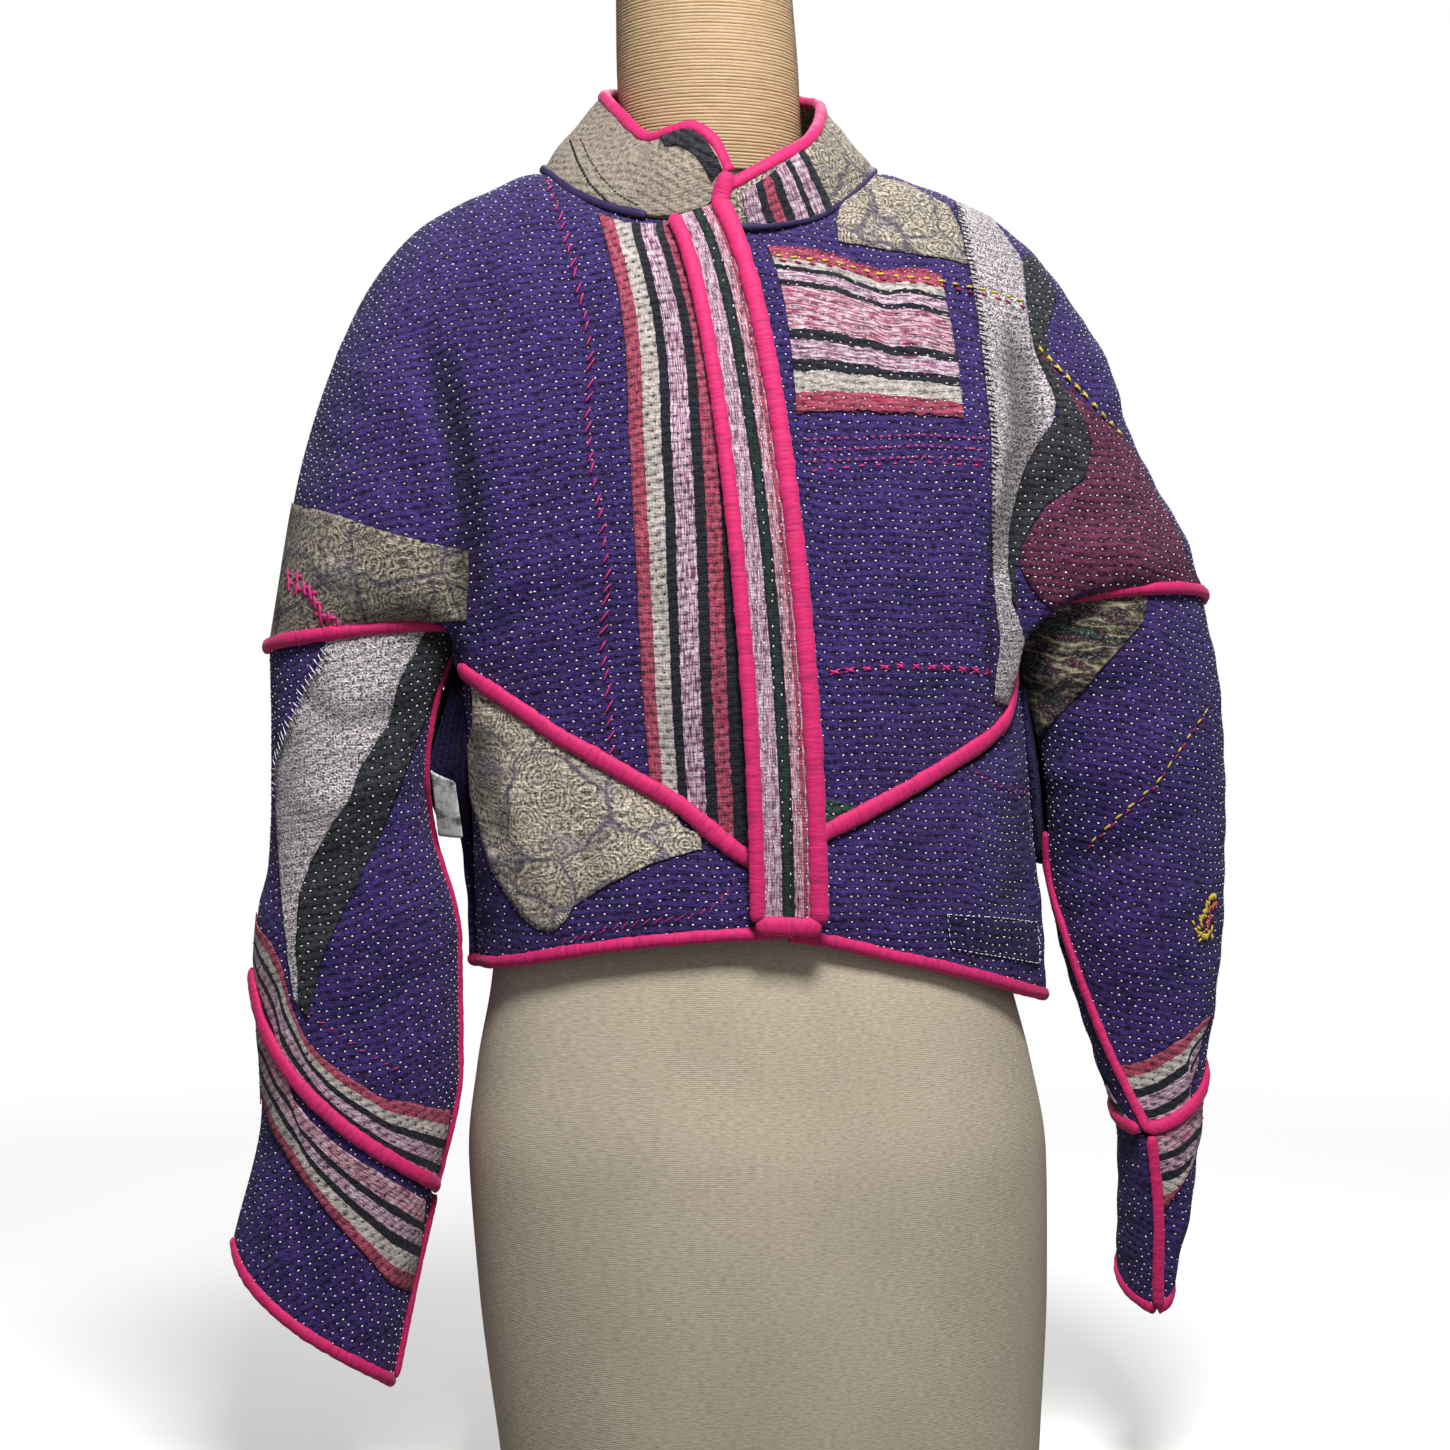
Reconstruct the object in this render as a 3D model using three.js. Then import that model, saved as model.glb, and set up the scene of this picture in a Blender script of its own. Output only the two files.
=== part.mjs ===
// A cropped quilted jacket with batwing sleeves on a limbless dress form. Millimetres, +Z up.
// The front faces -Y and the wearer's right is -X. The origin is the centre of the form's flat base.
import * as THREE from "three";

// Driving dimensions
const cloth = 3.0; // quilted cloth, three layers
const seamGap = 0.4; // between two pieces at a seam
const clear = 0.3; // between a piece and the panel it lies on
const stand = 0.9; // the same where the panel bends
const bindingThick = 2.6;
const bindingWide = 11.0;
const edgeThick = 6.4; // a binding that wraps a free edge
const edgeWide = 8.0;
const patchThick = 1.0;
const neckX = -38; // the form leans towards the wearer's right as it rises
const leanPerHeight = -0.0474;
const capFrom = 993;

const colours = {
  purple: 0x3d2f6e, plum: 0x34265f, binding: 0xf0307a, cream: 0xb9ae93, stripe: 0xb98fa8,
  linen: 0xcbbfa8, cord: 0xc9a87a, tab: 0xf2efe8,
};

// Each row is one section of a panel: a cubic curve from `top` to `end`. `lean` moves the first handle
// sideways by that share of the way to the end, `out` and `drop` move it forwards and down, and
// `side`, `endOut` and `rise` move the second handle.
const columns = ["topX", "topY", "topZ", "lean", "out", "drop",
  "endX", "endY", "endZ", "side", "endOut", "rise"];
const table = (rows) => rows.map((row) => Object.fromEntries(columns.map((name, i) => [name, row[i]])));

// Upper fronts, from the elbow seam over the shoulder to the centre edge
const frontRightRows = table([
  [-326, 0, 557, 0.00, 66, -8, -209, -36, 574, -5, 44, 6],
  [-320, 0, 596, 0.00, 82, 6, -213, -46, 556, -4, 56, 44],
  [-308, 0, 667, 0.02, 94, 18, -207, -56, 543, -6, 50, 78],
  [-288, 0, 735, 0.02, 88, 14, -197, -67, 532, -2, 32, 110],
  [-262, 0, 792, 0.05, 86, 12, -184, -78, 522, 0, 24, 120],
  [-230, 0, 830, 0.12, 85, 4, -168, -87, 510, 0, 21, 125],
  [-193, 0, 851, 0.16, 90, 0, -150, -96, 497, 0, 16, 125],
  [-156, 0, 866, 0.20, 92, 0, -128, -104, 484, 0, 15, 126],
  [-136, -34, 849, 0.25, 70, 14, -108, -110, 472, 0, 14, 128],
  [-106, -66, 831, 0.30, 50, 30, -80, -117, 455, 0, 13, 134],
  [-80, -81, 827, 0.45, 40, 36, -42, -126, 424, -2, 8, 138],
  [-51, -87, 838, 0.50, 40, 48, 4, -129, 402, -2, 7, 160],
]);
const frontLeftRows = table([
  [292, 0, 590, 0.00, 80, -16, 146, -42, 583, 6, 54, 17],
  [281, 0, 633, 0.00, 94, 8, 145, -54, 553, 4, 56, 48],
  [258, 0, 674, 0.03, 96, 12, 143, -62, 530, 3, 48, 84],
  [239, 0, 712, 0.04, 92, 12, 138, -70, 512, 2, 36, 110],
  [227, 0, 750, 0.06, 90, 12, 127, -80, 501, 2, 28, 124],
  [206, 0, 788, 0.10, 88, 12, 110, -92, 490, 1, 22, 130],
  [178, 0, 823, 0.14, 84, 4, 90, -101, 479, 0, 18, 132],
  [142, 0, 849, 0.18, 90, 0, 68, -109, 467, 0, 16, 134],
  [100, 0, 866, 0.20, 96, 0, 44, -115, 455, 0, 14, 135],
  [70, -4, 874, 0.20, 96, 12, 22, -119, 444, 0, 12, 136],
  [46, -40, 850, 0.24, 68, 26, 4, -120, 435, 0, 9, 138],
  [10, -68, 828, 0.28, 46, 34, -18, -120, 424, 0, 8, 140],
  [-70, -76, 822, 0.10, 40, 40, -44, -119, 408, 0, 6, 150],
]);

// Back neckline and back hem, which the fronts' rows don't hold
const backNeckRight = [[-139, 32, 873], [-114, 56, 877], [-80, 70, 880]];
const backNeckLeft = [[64, 26, 875], [42, 52, 878], [4, 70, 880]];
const backNeckCentre = [neckX, 75, 881];
const backSeamCentre = [-30, 104, 420];
const backFlatter = 0.86; // the back lies this much flatter than the fronts

function backRow(row, neck) {
  const top = neck ?? [row.topX, -row.topY, row.topZ];
  return {
    ...row, topX: top[0], topY: top[1], topZ: top[2], out: -row.out * backFlatter,
    endY: -row.endY * backFlatter, endOut: -row.endOut * backFlatter,
  };
}

const centreBackRow = {
  ...backRow(frontLeftRows[11], backNeckCentre),
  endX: backSeamCentre[0], endY: backSeamCentre[1], endZ: backSeamCentre[2], out: -26, endOut: -8, lean: 0.4,
};
const backUpperRows = [
  ...frontRightRows.slice(0, 8).map((row) => backRow(row)),
  ...backNeckRight.map((neck, i) => backRow(frontRightRows[8 + i], neck)),
  centreBackRow,
  ...backNeckLeft.map((neck, i) => backRow(frontLeftRows[9 + i], neck)).reverse(),
  ...frontLeftRows.slice(0, 9).map((row) => backRow(row)).reverse(),
];

// Lower fronts and lower back, from the diagonal seams down to the hem
const lowerRightRows = table([
  [-208, -50, 549, 0.40, 2, 50, -194, -4, 360, -2, 10, 60],
  [-197, -67, 532, 0.30, 4, 50, -190, -36, 361, 0, 8, 50],
  [-184, -78, 522, 0.30, 4, 46, -176, -62, 364, 0, 6, 46],
  [-150, -96, 497, 0.30, 4, 38, -148, -91, 371, 0, 4, 38],
  [-108, -110, 472, 0.30, 4, 30, -108, -113, 378, 0, 4, 30],
  [-80, -117, 455, 0.30, 3, 24, -80, -122, 381, 0, 3, 24],
  [-42, -126, 424, 0.30, 2, 14, -40, -129, 384, 0, 2, 14],
  [4, -129, 402, 0.30, 1, 6, 4, -131, 385, 0, 1, 6],
]);
const lowerLeftRows = table([
  [150, -46, 570, 0.20, 6, 50, 181, -4, 332, -4, 10, 70],
  [143, -62, 530, 0.25, 8, 60, 177, -30, 334, -3, 10, 60],
  [127, -80, 501, 0.30, 6, 50, 160, -55, 339, -2, 8, 50],
  [104, -95, 487, 0.30, 6, 44, 128, -83, 349, -2, 6, 44],
  [68, -109, 467, 0.30, 5, 36, 84, -105, 361, -1, 6, 36],
  [44, -115, 455, 0.30, 4, 30, 50, -116, 369, 0, 4, 30],
  [4, -120, 435, 0.30, 3, 20, 10, -123, 379, 0, 3, 20],
  [-38, -119, 410, 0.30, 1, 8, -40, -121, 385, 0, 1, 8],
]);
const sideHem = { right: [-194, 4, 359], left: [181, 4, 332] };
const backHemDeep = 106;
const lowerBackRows = backUpperRows.map((seam, i) => {
  const [first, last] = [backUpperRows[0].endX, backUpperRows[backUpperRows.length - 1].endX];
  const share = (seam.endX - first) / (last - first);
  const x = THREE.MathUtils.lerp(sideHem.right[0], sideHem.left[0], share);
  const y = sideHem.right[1] + backHemDeep * Math.sqrt(Math.max(0, 1 - (1 - 2 * share) ** 2));
  const z = THREE.MathUtils.lerp(sideHem.right[2], sideHem.left[2], share);
  const fall = (seam.endZ - z) / 3;
  return {
    topX: seam.endX, topY: seam.endY, topZ: seam.endZ, lean: 0.3, out: -4, drop: fall,
    endX: x, endY: y, endZ: z, side: 0, endOut: -5, rise: fall,
  };
});

// Sleeves below the elbow, from the outer edge to the underarm seam, and cuffs below the forearm seam
const sleeveRightRows = table([
  [-326, 0, 554, 0.00, 66, -7, -212, -35, 562, -4, 42, 6],
  [-325, 0, 508, 0.00, 72, -2, -226, -31, 527, -2, 50, 4],
  [-325, 0, 462, 0.00, 74, 2, -232, -20, 482, 0, 56, 6],
  [-327, 0, 420, 0.00, 74, 4, -226, -3, 438, 4, 68, 6],
  [-333, 0, 394, 0.00, 72, 12, -210, -3, 372, 6, 68, 6],
  [-335, 0, 372, 0.00, 68, 44, -209, -3, 290, 4, 64, 10],
  [-336, 0, 353, 0.00, 62, 88, -225, -4, 209, 0, 60, 14],
]);
const cuffRightRows = table([
  [-336, 0, 352, 0.00, 62, 88, -225, -4, 208, 0, 60, 14],
  [-331, 0, 268, 0.00, 58, 50, -236, -3, 160, -2, 54, 10],
  [-349, 0, 182, 0.02, 50, 40, -250, -2, 90, -6, 48, 14],
]);
const sleeveLeftRows = table([
  [292, 0, 588, 0.00, 78, -14, 153, -40, 573, 6, 52, 17],
  [303, 0, 535, 0.00, 86, 0, 168, -32, 528, 2, 58, 4],
  [307, 0, 475, 0.00, 84, 0, 182, -22, 470, 0, 62, 0],
  [307, 0, 418, 0.00, 80, 0, 189, -5, 412, 2, 72, 0],
  [305, 0, 370, 0.00, 72, 2, 199, -16, 366, 14, 52, 2],
  [300, 0, 326, 0.00, 60, 4, 217, -28, 308, 26, 34, 4],
  [290, 0, 285, 0.00, 46, 10, 243, -48, 241, 26, 6, 2],
]);
const cuffLeftRows = table([
  [290, 0, 284, 0.00, 46, 10, 243, -48, 240, 26, 6, 2],
  [282, 0, 205, 0.00, 42, 8, 249, -44, 194, 22, 4, 0],
  [267, 0, 150, 0.00, 34, 6, 254, -32, 124, 12, 4, 4],
]);
const sleeveLeftBackRows = table([
  [292, 0, 588, 0.00, -67, -14, 153, 34, 573, 6, -44, 17],
  [303, 0, 535, 0.00, -76, 0, 168, 30, 528, 2, -52, 4],
  [307, 0, 475, 0.00, -74, 0, 182, 20, 470, 0, -56, 0],
  [307, 0, 418, 0.00, -72, 0, 189, -2, 412, -2, -66, 0],
  [305, 0, 370, 0.00, -66, 0, 198, -14, 366, -12, -56, 0],
  [300, 0, 326, 0.00, -64, 0, 215, -27, 308, -16, -58, 0],
  [290, 0, 285, 0.00, -64, -4, 240, -49, 241, -30, -60, 8],
]);
const cuffLeftBackRows = table([
  [290, 0, 284, 0.00, -64, -4, 240, -49, 240, -30, -60, 8],
  [282, 0, 205, 0.00, -62, -6, 247, -45, 194, -34, -60, 4],
  [267, 0, 150, 0.00, -56, -26, 252, -33, 124, -32, -52, 14],
]);
const behind = (rows) => rows.map((row) => ({
  ...row, out: -row.out * backFlatter, endOut: -row.endOut * backFlatter,
  endY: Math.max(-row.endY * backFlatter, 3),
}));

// Gussets under the arms: a saddle from the sleeve's seam to the body's side, front round to back
const gussetColumns = ["sleeveX", "sleeveY", "sleeveZ", "bodyX", "bodyY", "bodyZ"];
const gussetRight = [
  [-213, -36, 534, -206, -45, 527], [-220, -28, 512, -203, -43, 504], [-227, -19, 482, -201, -30, 474],
  [-220, -8, 450, -199, -12, 448], [-217, 1, 440, -199, 4, 440], [-220, 9, 450, -200, 14, 448],
  [-229, 16, 482, -203, 22, 474], [-220, 24, 512, -206, 28, 504], [-214, 28, 534, -208, 29, 527],
];
const gussetLeft = [
  [164, -36, 542, 157, -48, 534], [170, -28, 514, 160, -46, 506], [178, -20, 470, 167, -38, 466],
  [184, -8, 428, 174, -16, 426], [185, 1, 418, 176, 2, 418], [183, 9, 428, 174, 14, 426],
  [177, 16, 470, 167, 22, 466], [169, 24, 514, 160, 28, 506], [163, 28, 542, 157, 30, 534],
];

const gussetRows = (rows) => rows.map((row, i) => {
  const at = Object.fromEntries(gussetColumns.map((name, k) => [name, row[k]]));
  const inwards = 5 * Math.sign(at.sleeveY);
  const atFold = i === (rows.length - 1) / 2;
  return {
    topX: at.sleeveX, topY: at.sleeveY, topZ: at.sleeveZ, lean: 0.33, out: atFold ? 0 : inwards, drop: 0,
    endX: at.bodyX, endY: at.bodyY, endZ: at.bodyZ, side: (at.sleeveX - at.bodyX) / 3,
    endOut: atFold ? 0 : inwards, rise: atFold ? 4 : 0,
  };
});

// Collar: a band that leans in to the neck, lower at the front, each half from the centre front to the back
const collarRightRows = table([
  [-46, -93, 854, 0.5, 1, 4, -49, -92, 842, 0, 0, 4],
  [-55, -91, 873, 0.5, 3, 10, -64, -88, 833, 0, 0, 8],
  [-70, -82, 884, 0.5, 3, 14, -86, -82, 828.6, 0, 0, 12],
  [-90, -62, 880, 0.4, 3, 14, -108, -68, 833.4, 0, 0, 12],
  [-105, -24, 902, 0.4, 2, 16, -138, -35, 851.4, 5, 0, 14],
  [-111, 12, 921, 0.4, 0, 18, -150, 0, 870, 8, 0, 14],
  [-98, 44, 930, 0.4, 0, 18, -137, 34, 877, 6, 0, 14],
  [-72, 62, 934, 0.4, 0, 18, -100, 64, 884, 3, 0, 14],
  [-40, 68, 935, 0.4, 0, 18, -40, 77, 885, 0, 0, 14],
]);
const collarLeftRows = table([
  [-56, -79, 840, 0.5, 2, 6, -64, -80, 825, 0, 0, 4],
  [-38, -80, 850, 0.5, 2, 8, -32, -80, 824, 0, 0, 6],
  [-12, -73, 866, 0.4, 3, 12, 9, -71, 831, 0, 0, 10],
  [14, -54, 884, 0.4, 2, 14, 45, -43, 853, -5, 0, 12],
  [28, -24, 903, 0.4, 0, 16, 64, -14, 872, -9, 0, 12],
  [35, 10, 920, 0.4, 0, 18, 70, 10, 879, -12, 0, 14],
  [24, 42, 930, 0.4, 0, 18, 58, 38, 881, -8, 0, 14],
  [-4, 61, 934, 0.4, 0, 18, 24, 64, 884, -3, 0, 14],
  [-36, 68, 935, 0.4, 0, 18, -36, 77, 885, 0, 0, 14],
]);
// One value of a column between rows, on a smooth curve that never swings past them
function between(rows, name, u) {
  const last = rows.length - 1;
  const place = THREE.MathUtils.clamp(u, 0, 1) * last;
  const i = Math.min(Math.floor(place), last - 1);
  const f = place - i;
  const rise = (k) => rows[k + 1][name] - rows[k][name];
  const slope = (k) => {
    if (k === 0) return rise(0);
    if (k === last) return rise(last - 1);
    const [before, after] = [rise(k - 1), rise(k)];
    return before * after <= 0 ? 0 : (2 * before * after) / (before + after);
  };
  const [b, c] = [rows[i][name], rows[i + 1][name]];
  const [m, n] = [slope(i), slope(i + 1)];
  return b + f * (m + f * (3 * (c - b) - 2 * m - n + f * (2 * (b - c) + m + n)));
}

// A panel's middle surface: u runs over the rows, v from top to end
function surface(rows) {
  return (u, v) => {
    const at = (name) => between(rows, name, u);
    const [topX, endX] = [at("topX"), at("endX")];
    const curve = new THREE.CubicBezierCurve3(
      new THREE.Vector3(topX, at("topY"), at("topZ")),
      new THREE.Vector3(topX + at("lean") * (endX - topX), at("topY") - at("out"), at("topZ") - at("drop")),
      new THREE.Vector3(endX + at("side"), at("endY") - at("endOut"), at("endZ") + at("rise")),
      new THREE.Vector3(endX, at("endY"), at("endZ")),
    );
    return curve.getPoint(v);
  };
}

const step = 0.004;
function normalAt(panel, u, v, outside) {
  const clampIn = (value) => Math.min(Math.max(value, step), 1 - step);
  const [cu, cv] = [clampIn(u), clampIn(v)];
  const du = panel(cu + step, cv).sub(panel(cu - step, cv));
  const dv = panel(cu, cv + step).sub(panel(cu, cv - step));
  return du.cross(dv).normalize().multiplyScalar(outside);
}

// A closed wall between two grids of points
function wallGeometry(outer, inner) {
  const [rows, cols] = [outer.length, outer[0].length];
  const positions = [];
  for (const grid of [outer, inner]) {
    for (const line of grid) line.forEach((point) => positions.push(point.x, point.y, point.z));
  }
  const total = rows * cols;
  const id = (layer, i, j) => layer * total + i * cols + j;
  const faces = [];
  const quad = (a, b, c, d) => faces.push(a, b, c, a, c, d);
  for (let i = 0; i < rows - 1; i++) {
    for (let j = 0; j < cols - 1; j++) {
      quad(id(0, i, j), id(0, i + 1, j), id(0, i + 1, j + 1), id(0, i, j + 1));
      quad(id(1, i, j), id(1, i, j + 1), id(1, i + 1, j + 1), id(1, i + 1, j));
    }
  }
  for (let i = 0; i < rows - 1; i++) {
    quad(id(0, i + 1, 0), id(0, i, 0), id(1, i, 0), id(1, i + 1, 0));
    quad(id(0, i, cols - 1), id(0, i + 1, cols - 1), id(1, i + 1, cols - 1), id(1, i, cols - 1));
  }
  for (let j = 0; j < cols - 1; j++) {
    quad(id(0, 0, j), id(0, 0, j + 1), id(1, 0, j + 1), id(1, 0, j));
    quad(id(0, rows - 1, j + 1), id(0, rows - 1, j), id(1, rows - 1, j), id(1, rows - 1, j + 1));
  }
  return closedGeometry(positions, faces);
}

// Makes a geometry whose faces point out, whichever way its grid ran
function closedGeometry(positions, faces) {
  const point = (k) => new THREE.Vector3(...positions.slice(3 * k, 3 * k + 3));
  let volume = 0;
  for (let k = 0; k < faces.length; k += 3) {
    volume += point(faces[k]).dot(point(faces[k + 1]).cross(point(faces[k + 2])));
  }
  if (volume < 0) faces.reverse();
  const geometry = new THREE.BufferGeometry();
  geometry.setAttribute("position", new THREE.Float32BufferAttribute(positions, 3));
  geometry.setIndex(faces);
  geometry.computeVertexNormals();
  return geometry;
}

const jacket = new THREE.Group();
function add(name, geometry, colour, roughness = 0.9) {
  const mesh = new THREE.Mesh(geometry, new THREE.MeshStandardMaterial({ color: colour, roughness, metalness: 0 }));
  mesh.name = name;
  jacket.add(mesh);
}

// A wall over part of a panel. `lift` is the height of its middle above the panel's middle.
function sheet(panel, { u = [0, 1], v = [0, 1], nu, nv, lift = 0, thick = cloth, outside = 1, map }) {
  const place = map ?? ((a, b) => [u[0] + (u[1] - u[0]) * a, v[0] + (v[1] - v[0]) * b]);
  const grid = (height) => Array.from({ length: nu + 1 }, (_, i) =>
    Array.from({ length: nv + 1 }, (_, j) => {
      const [pu, pv] = place(i / nu, j / nv);
      return panel(pu, pv).addScaledVector(normalAt(panel, pu, pv, outside), height);
    }));
  return wallGeometry(grid(lift + thick / 2), grid(lift - thick / 2));
}

// The share of a panel's run that a length on it takes, measured along its middle
const shareU = (panel, length) => length / lengthOf((a) => panel(a, 0.5));
const shareV = (panel, length) => length / lengthOf((a) => panel(0.5, a));
function lengthOf(run) {
  const steps = 24;
  let total = 0;
  for (let i = 0; i < steps; i++) total += run(i / steps).distanceTo(run((i + 1) / steps));
  return total;
}

function addPanel(name, rows, {
  nu, nv, outside, colour = colours.purple, topGap = seamGap, endGap = topGap, edgeGap = seamGap,
}) {
  const panel = surface(rows);
  const [inU, inTop, inEnd] = [shareU(panel, edgeGap), shareV(panel, topGap), shareV(panel, endGap)];
  add(name, sheet(panel, { u: [inU, 1 - inU], v: [inTop, 1 - inEnd], nu, nv, outside }), colour);
  return { panel, outside };
}

const fronts = {
  right: addPanel("front_right", frontRightRows, { nu: 22, nv: 7, outside: -1, topGap: 0.7, endGap: 1, edgeGap: 1.2 }),
  left: addPanel("front_left", frontLeftRows, { nu: 24, nv: 7, outside: 1, topGap: 0.9, endGap: 1, edgeGap: 1.6 }),
};
const lowers = {
  right: addPanel("front_right_lower", lowerRightRows, { nu: 14, nv: 3, outside: -1, topGap: 1.2, endGap: seamGap }),
  left: addPanel("front_left_lower", lowerLeftRows, { nu: 14, nv: 3, outside: 1, topGap: 4, endGap: seamGap, edgeGap: 2 }),
};
const back = addPanel("back_upper", backUpperRows, { nu: 46, nv: 5, outside: 1, endGap: 1.2, edgeGap: 1.6 });
const backLower = addPanel("back_lower", lowerBackRows, { nu: 23, nv: 2, outside: 1, topGap: 3.2, endGap: seamGap });
const sleeves = {
  right: addPanel("sleeve_right_front", sleeveRightRows, { nu: 8, nv: 7, outside: 1, edgeGap: 0.7 }),
  left: addPanel("sleeve_left_front", sleeveLeftRows, { nu: 8, nv: 7, outside: -1, edgeGap: 0.7 }),
  right_back: addPanel("sleeve_right_back", behind(sleeveRightRows), { nu: 8, nv: 7, outside: -1, edgeGap: 0.7 }),
  left_back: addPanel("sleeve_left_back", sleeveLeftBackRows, { nu: 8, nv: 7, outside: 1, edgeGap: 0.7 }),
};
const cuffs = {
  right: addPanel("cuff_right_front", cuffRightRows, { nu: 4, nv: 7, outside: 1, topGap: 0.8 }),
  left: addPanel("cuff_left_front", cuffLeftRows, { nu: 4, nv: 5, outside: -1, topGap: 0.3, edgeGap: 0.3 }),
  right_back: addPanel("cuff_right_back", behind(cuffRightRows), { nu: 4, nv: 7, outside: -1, topGap: 0.8 }),
  left_back: addPanel("cuff_left_back", cuffLeftBackRows, { nu: 4, nv: 7, outside: 1, topGap: 0.3, edgeGap: 0.3 }),
};
addPanel("gusset_right", gussetRows(gussetRight), { nu: 10, nv: 2, outside: -1, edgeGap: 1, endGap: 1.8 });
addPanel("gusset_left", gussetRows(gussetLeft), { nu: 10, nv: 1, outside: 1, edgeGap: 1, endGap: 1.5 });
const collars = {
  right: addPanel("collar_right", collarRightRows, { nu: 16, nv: 3, outside: 1, colour: colours.cream }),
  left: addPanel("collar_left", collarLeftRows, { nu: 9, nv: 3, outside: -1, colour: colours.cream }),
};

// The placket lies on the right front's centre edge, and ends just past the hem
const placketRows = table([
  [-80, -81, 827, 0.45, 40, 36, -36, -131, 388, -2, 8, 150],
  [-51, -87, 838, 0.50, 40, 48, 4, -134, 386, -2, 7, 168],
]);
const placketLift = cloth + stand;
const placketSpan = [0.03, 0.985]; // shares of the panel's length
const placket = surface(placketRows);
add("placket", sheet(placket, { nu: 2, nv: 14, v: placketSpan, lift: placketLift, outside: -1 }), colours.stripe);

// Bindings that lie on a panel beside a seam
const overPanel = cloth / 2 + stand + bindingThick / 2;
const overFold = overPanel + 0.8; // where the cloth gathers, it stands higher
const overElbow = overPanel + 1.1;
const overSeam = overPanel + 1.4;
const overGather = overPanel + 1.6;
const seamWide = 7; // along the sleeve's underarm
const rowEnd = 0.001; // keeps a binding just inside a panel's first or last row
function seamBinding(name, { panel, outside }, along, from, to, steps = 14, lift = overPanel, wide = bindingWide) {
  const [shareAcross, shareDown] = [shareU(panel, wide), shareV(panel, wide)];
  const shapes = {
    row0: { u: [rowEnd, shareAcross], v: [from, to], nu: 1, nv: steps },
    row1: { u: [1 - shareAcross, 1 - rowEnd], v: [from, to], nu: 1, nv: steps },
    end1: { u: [from, to], v: [1 - shareDown, 1 - (seamGap * shareDown) / wide], nu: steps, nv: 1 },
  };
  add(name, sheet(panel, { ...shapes[along], lift, thick: bindingThick, outside }), colours.binding);
}
seamBinding("binding_elbow_right", fronts.right, "row0", 0.03, 0.9, 14, overElbow);
seamBinding("binding_elbow_left", fronts.left, "row0", 0.03, 0.9, 14, overGather);
seamBinding("binding_diagonal_right", fronts.right, "end1", 0.12, 0.9, 22, overFold);
seamBinding("binding_diagonal_left", fronts.left, "end1", 0.12, 0.88, 22, overFold);
seamBinding("binding_elbow_right_back", { panel: surface(backUpperRows), outside: 1 }, "row0", 0.03, 0.82, 14, overGather + 0.8);
seamBinding("binding_elbow_left_back", { panel: surface(backUpperRows), outside: 1 }, "row1", 0.03, 0.84, 14, overGather);
seamBinding("binding_diagonal_back", back, "end1", 0.06, 0.94, 46, overSeam);
seamBinding("binding_forearm_right", sleeves.right, "row1", 0.03, 0.9, 10);
seamBinding("binding_forearm_left", sleeves.left, "row1", 0.03, 0.92, 8);
seamBinding("binding_forearm_right_back", sleeves.right_back, "row1", 0.03, 0.9, 10);
seamBinding("binding_forearm_left_back", sleeves.left_back, "row1", 0.03, 0.9, 10);
seamBinding("binding_underarm_right", sleeves.right, "end1", 0.06, 0.93, 14, overPanel, seamWide);
seamBinding("binding_underarm_left", sleeves.left, "end1", 0.5, 0.93, 10, overPanel, seamWide);

// Finds the place on a panel that lies at x across and z up, seen from the front
function locate(panel, x, z) {
  let [bestU, bestV, span] = [0.5, 0.5, 0.5];
  const miss = (u, v) => {
    const point = panel(u, v);
    return Math.hypot(point.x - x, point.z - z);
  };
  for (let round = 0; round < 9; round++, span *= 0.45) {
    const [fromU, fromV] = [bestU, bestV];
    for (let i = -4; i <= 4; i++) {
      for (let j = -4; j <= 4; j++) {
        const u = THREE.MathUtils.clamp(fromU + (span * i) / 4, 0, 1);
        const v = THREE.MathUtils.clamp(fromV + (span * j) / 4, 0, 1);
        if (miss(u, v) < miss(bestU, bestV)) [bestU, bestV] = [u, v];
      }
    }
  }
  return [bestU, bestV];
}

// A patch lies on a panel between four corners, each [x, z] as seen from the front
const onCloth = cloth / 2 + stand + patchThick / 2;
function addPatch(name, { panel, outside }, corners, colour, lift = onCloth) {
  const [a, b, c, d] = corners;
  const across = (s, t) => [0, 1].map((k) =>
    (1 - t) * ((1 - s) * a[k] + s * b[k]) + t * ((1 - s) * d[k] + s * c[k]));
  const map = (s, t) => locate(panel, ...across(s, t));
  add(name, sheet(panel, { map, nu: 6, nv: 5, lift, thick: patchThick, outside }), colour);
}
addPatch("patch_chest", fronts.left, [[-16, 806], [98, 786], [104, 700], [0, 704]], colours.stripe);
addPatch("patch_shoulder", fronts.left, [[62, 858], [98, 846], [108, 812], [40, 818]], colours.cream);
addPatch("patch_sleeve", fronts.right, [[-290, 656], [-222, 626], [-222, 594], [-290, 592]], colours.cream);
addPatch("patch_hem", lowers.right, [[-188, 500], [-86, 440], [-150, 390], [-184, 440]], colours.cream);

// A darker piece under the rounded corner of the right collar
const cornerSpan = { u: [0.06, 0.32], v: [0.14, 0.6] };
add("collar_corner", sheet(collars.right.panel, {
  ...cornerSpan, nu: 5, nv: 2, lift: onCloth, thick: patchThick, outside: 1,
}), colours.plum);

// The maker's tab, caught in the underarm seam and lying towards the body
const tabRows = table([
  [-226.6, -29, 481, 0.3, 0, 3, -212, -36, 473, 0, 0, 3],
  [-220.6, -12, 439, 0.3, 0, 0, -206, -24, 438, 0, 0, 0],
]);
add("label_tab", sheet(surface(tabRows), { nu: 2, nv: 1, thick: 1, outside: 1 }), colours.tab);

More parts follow.
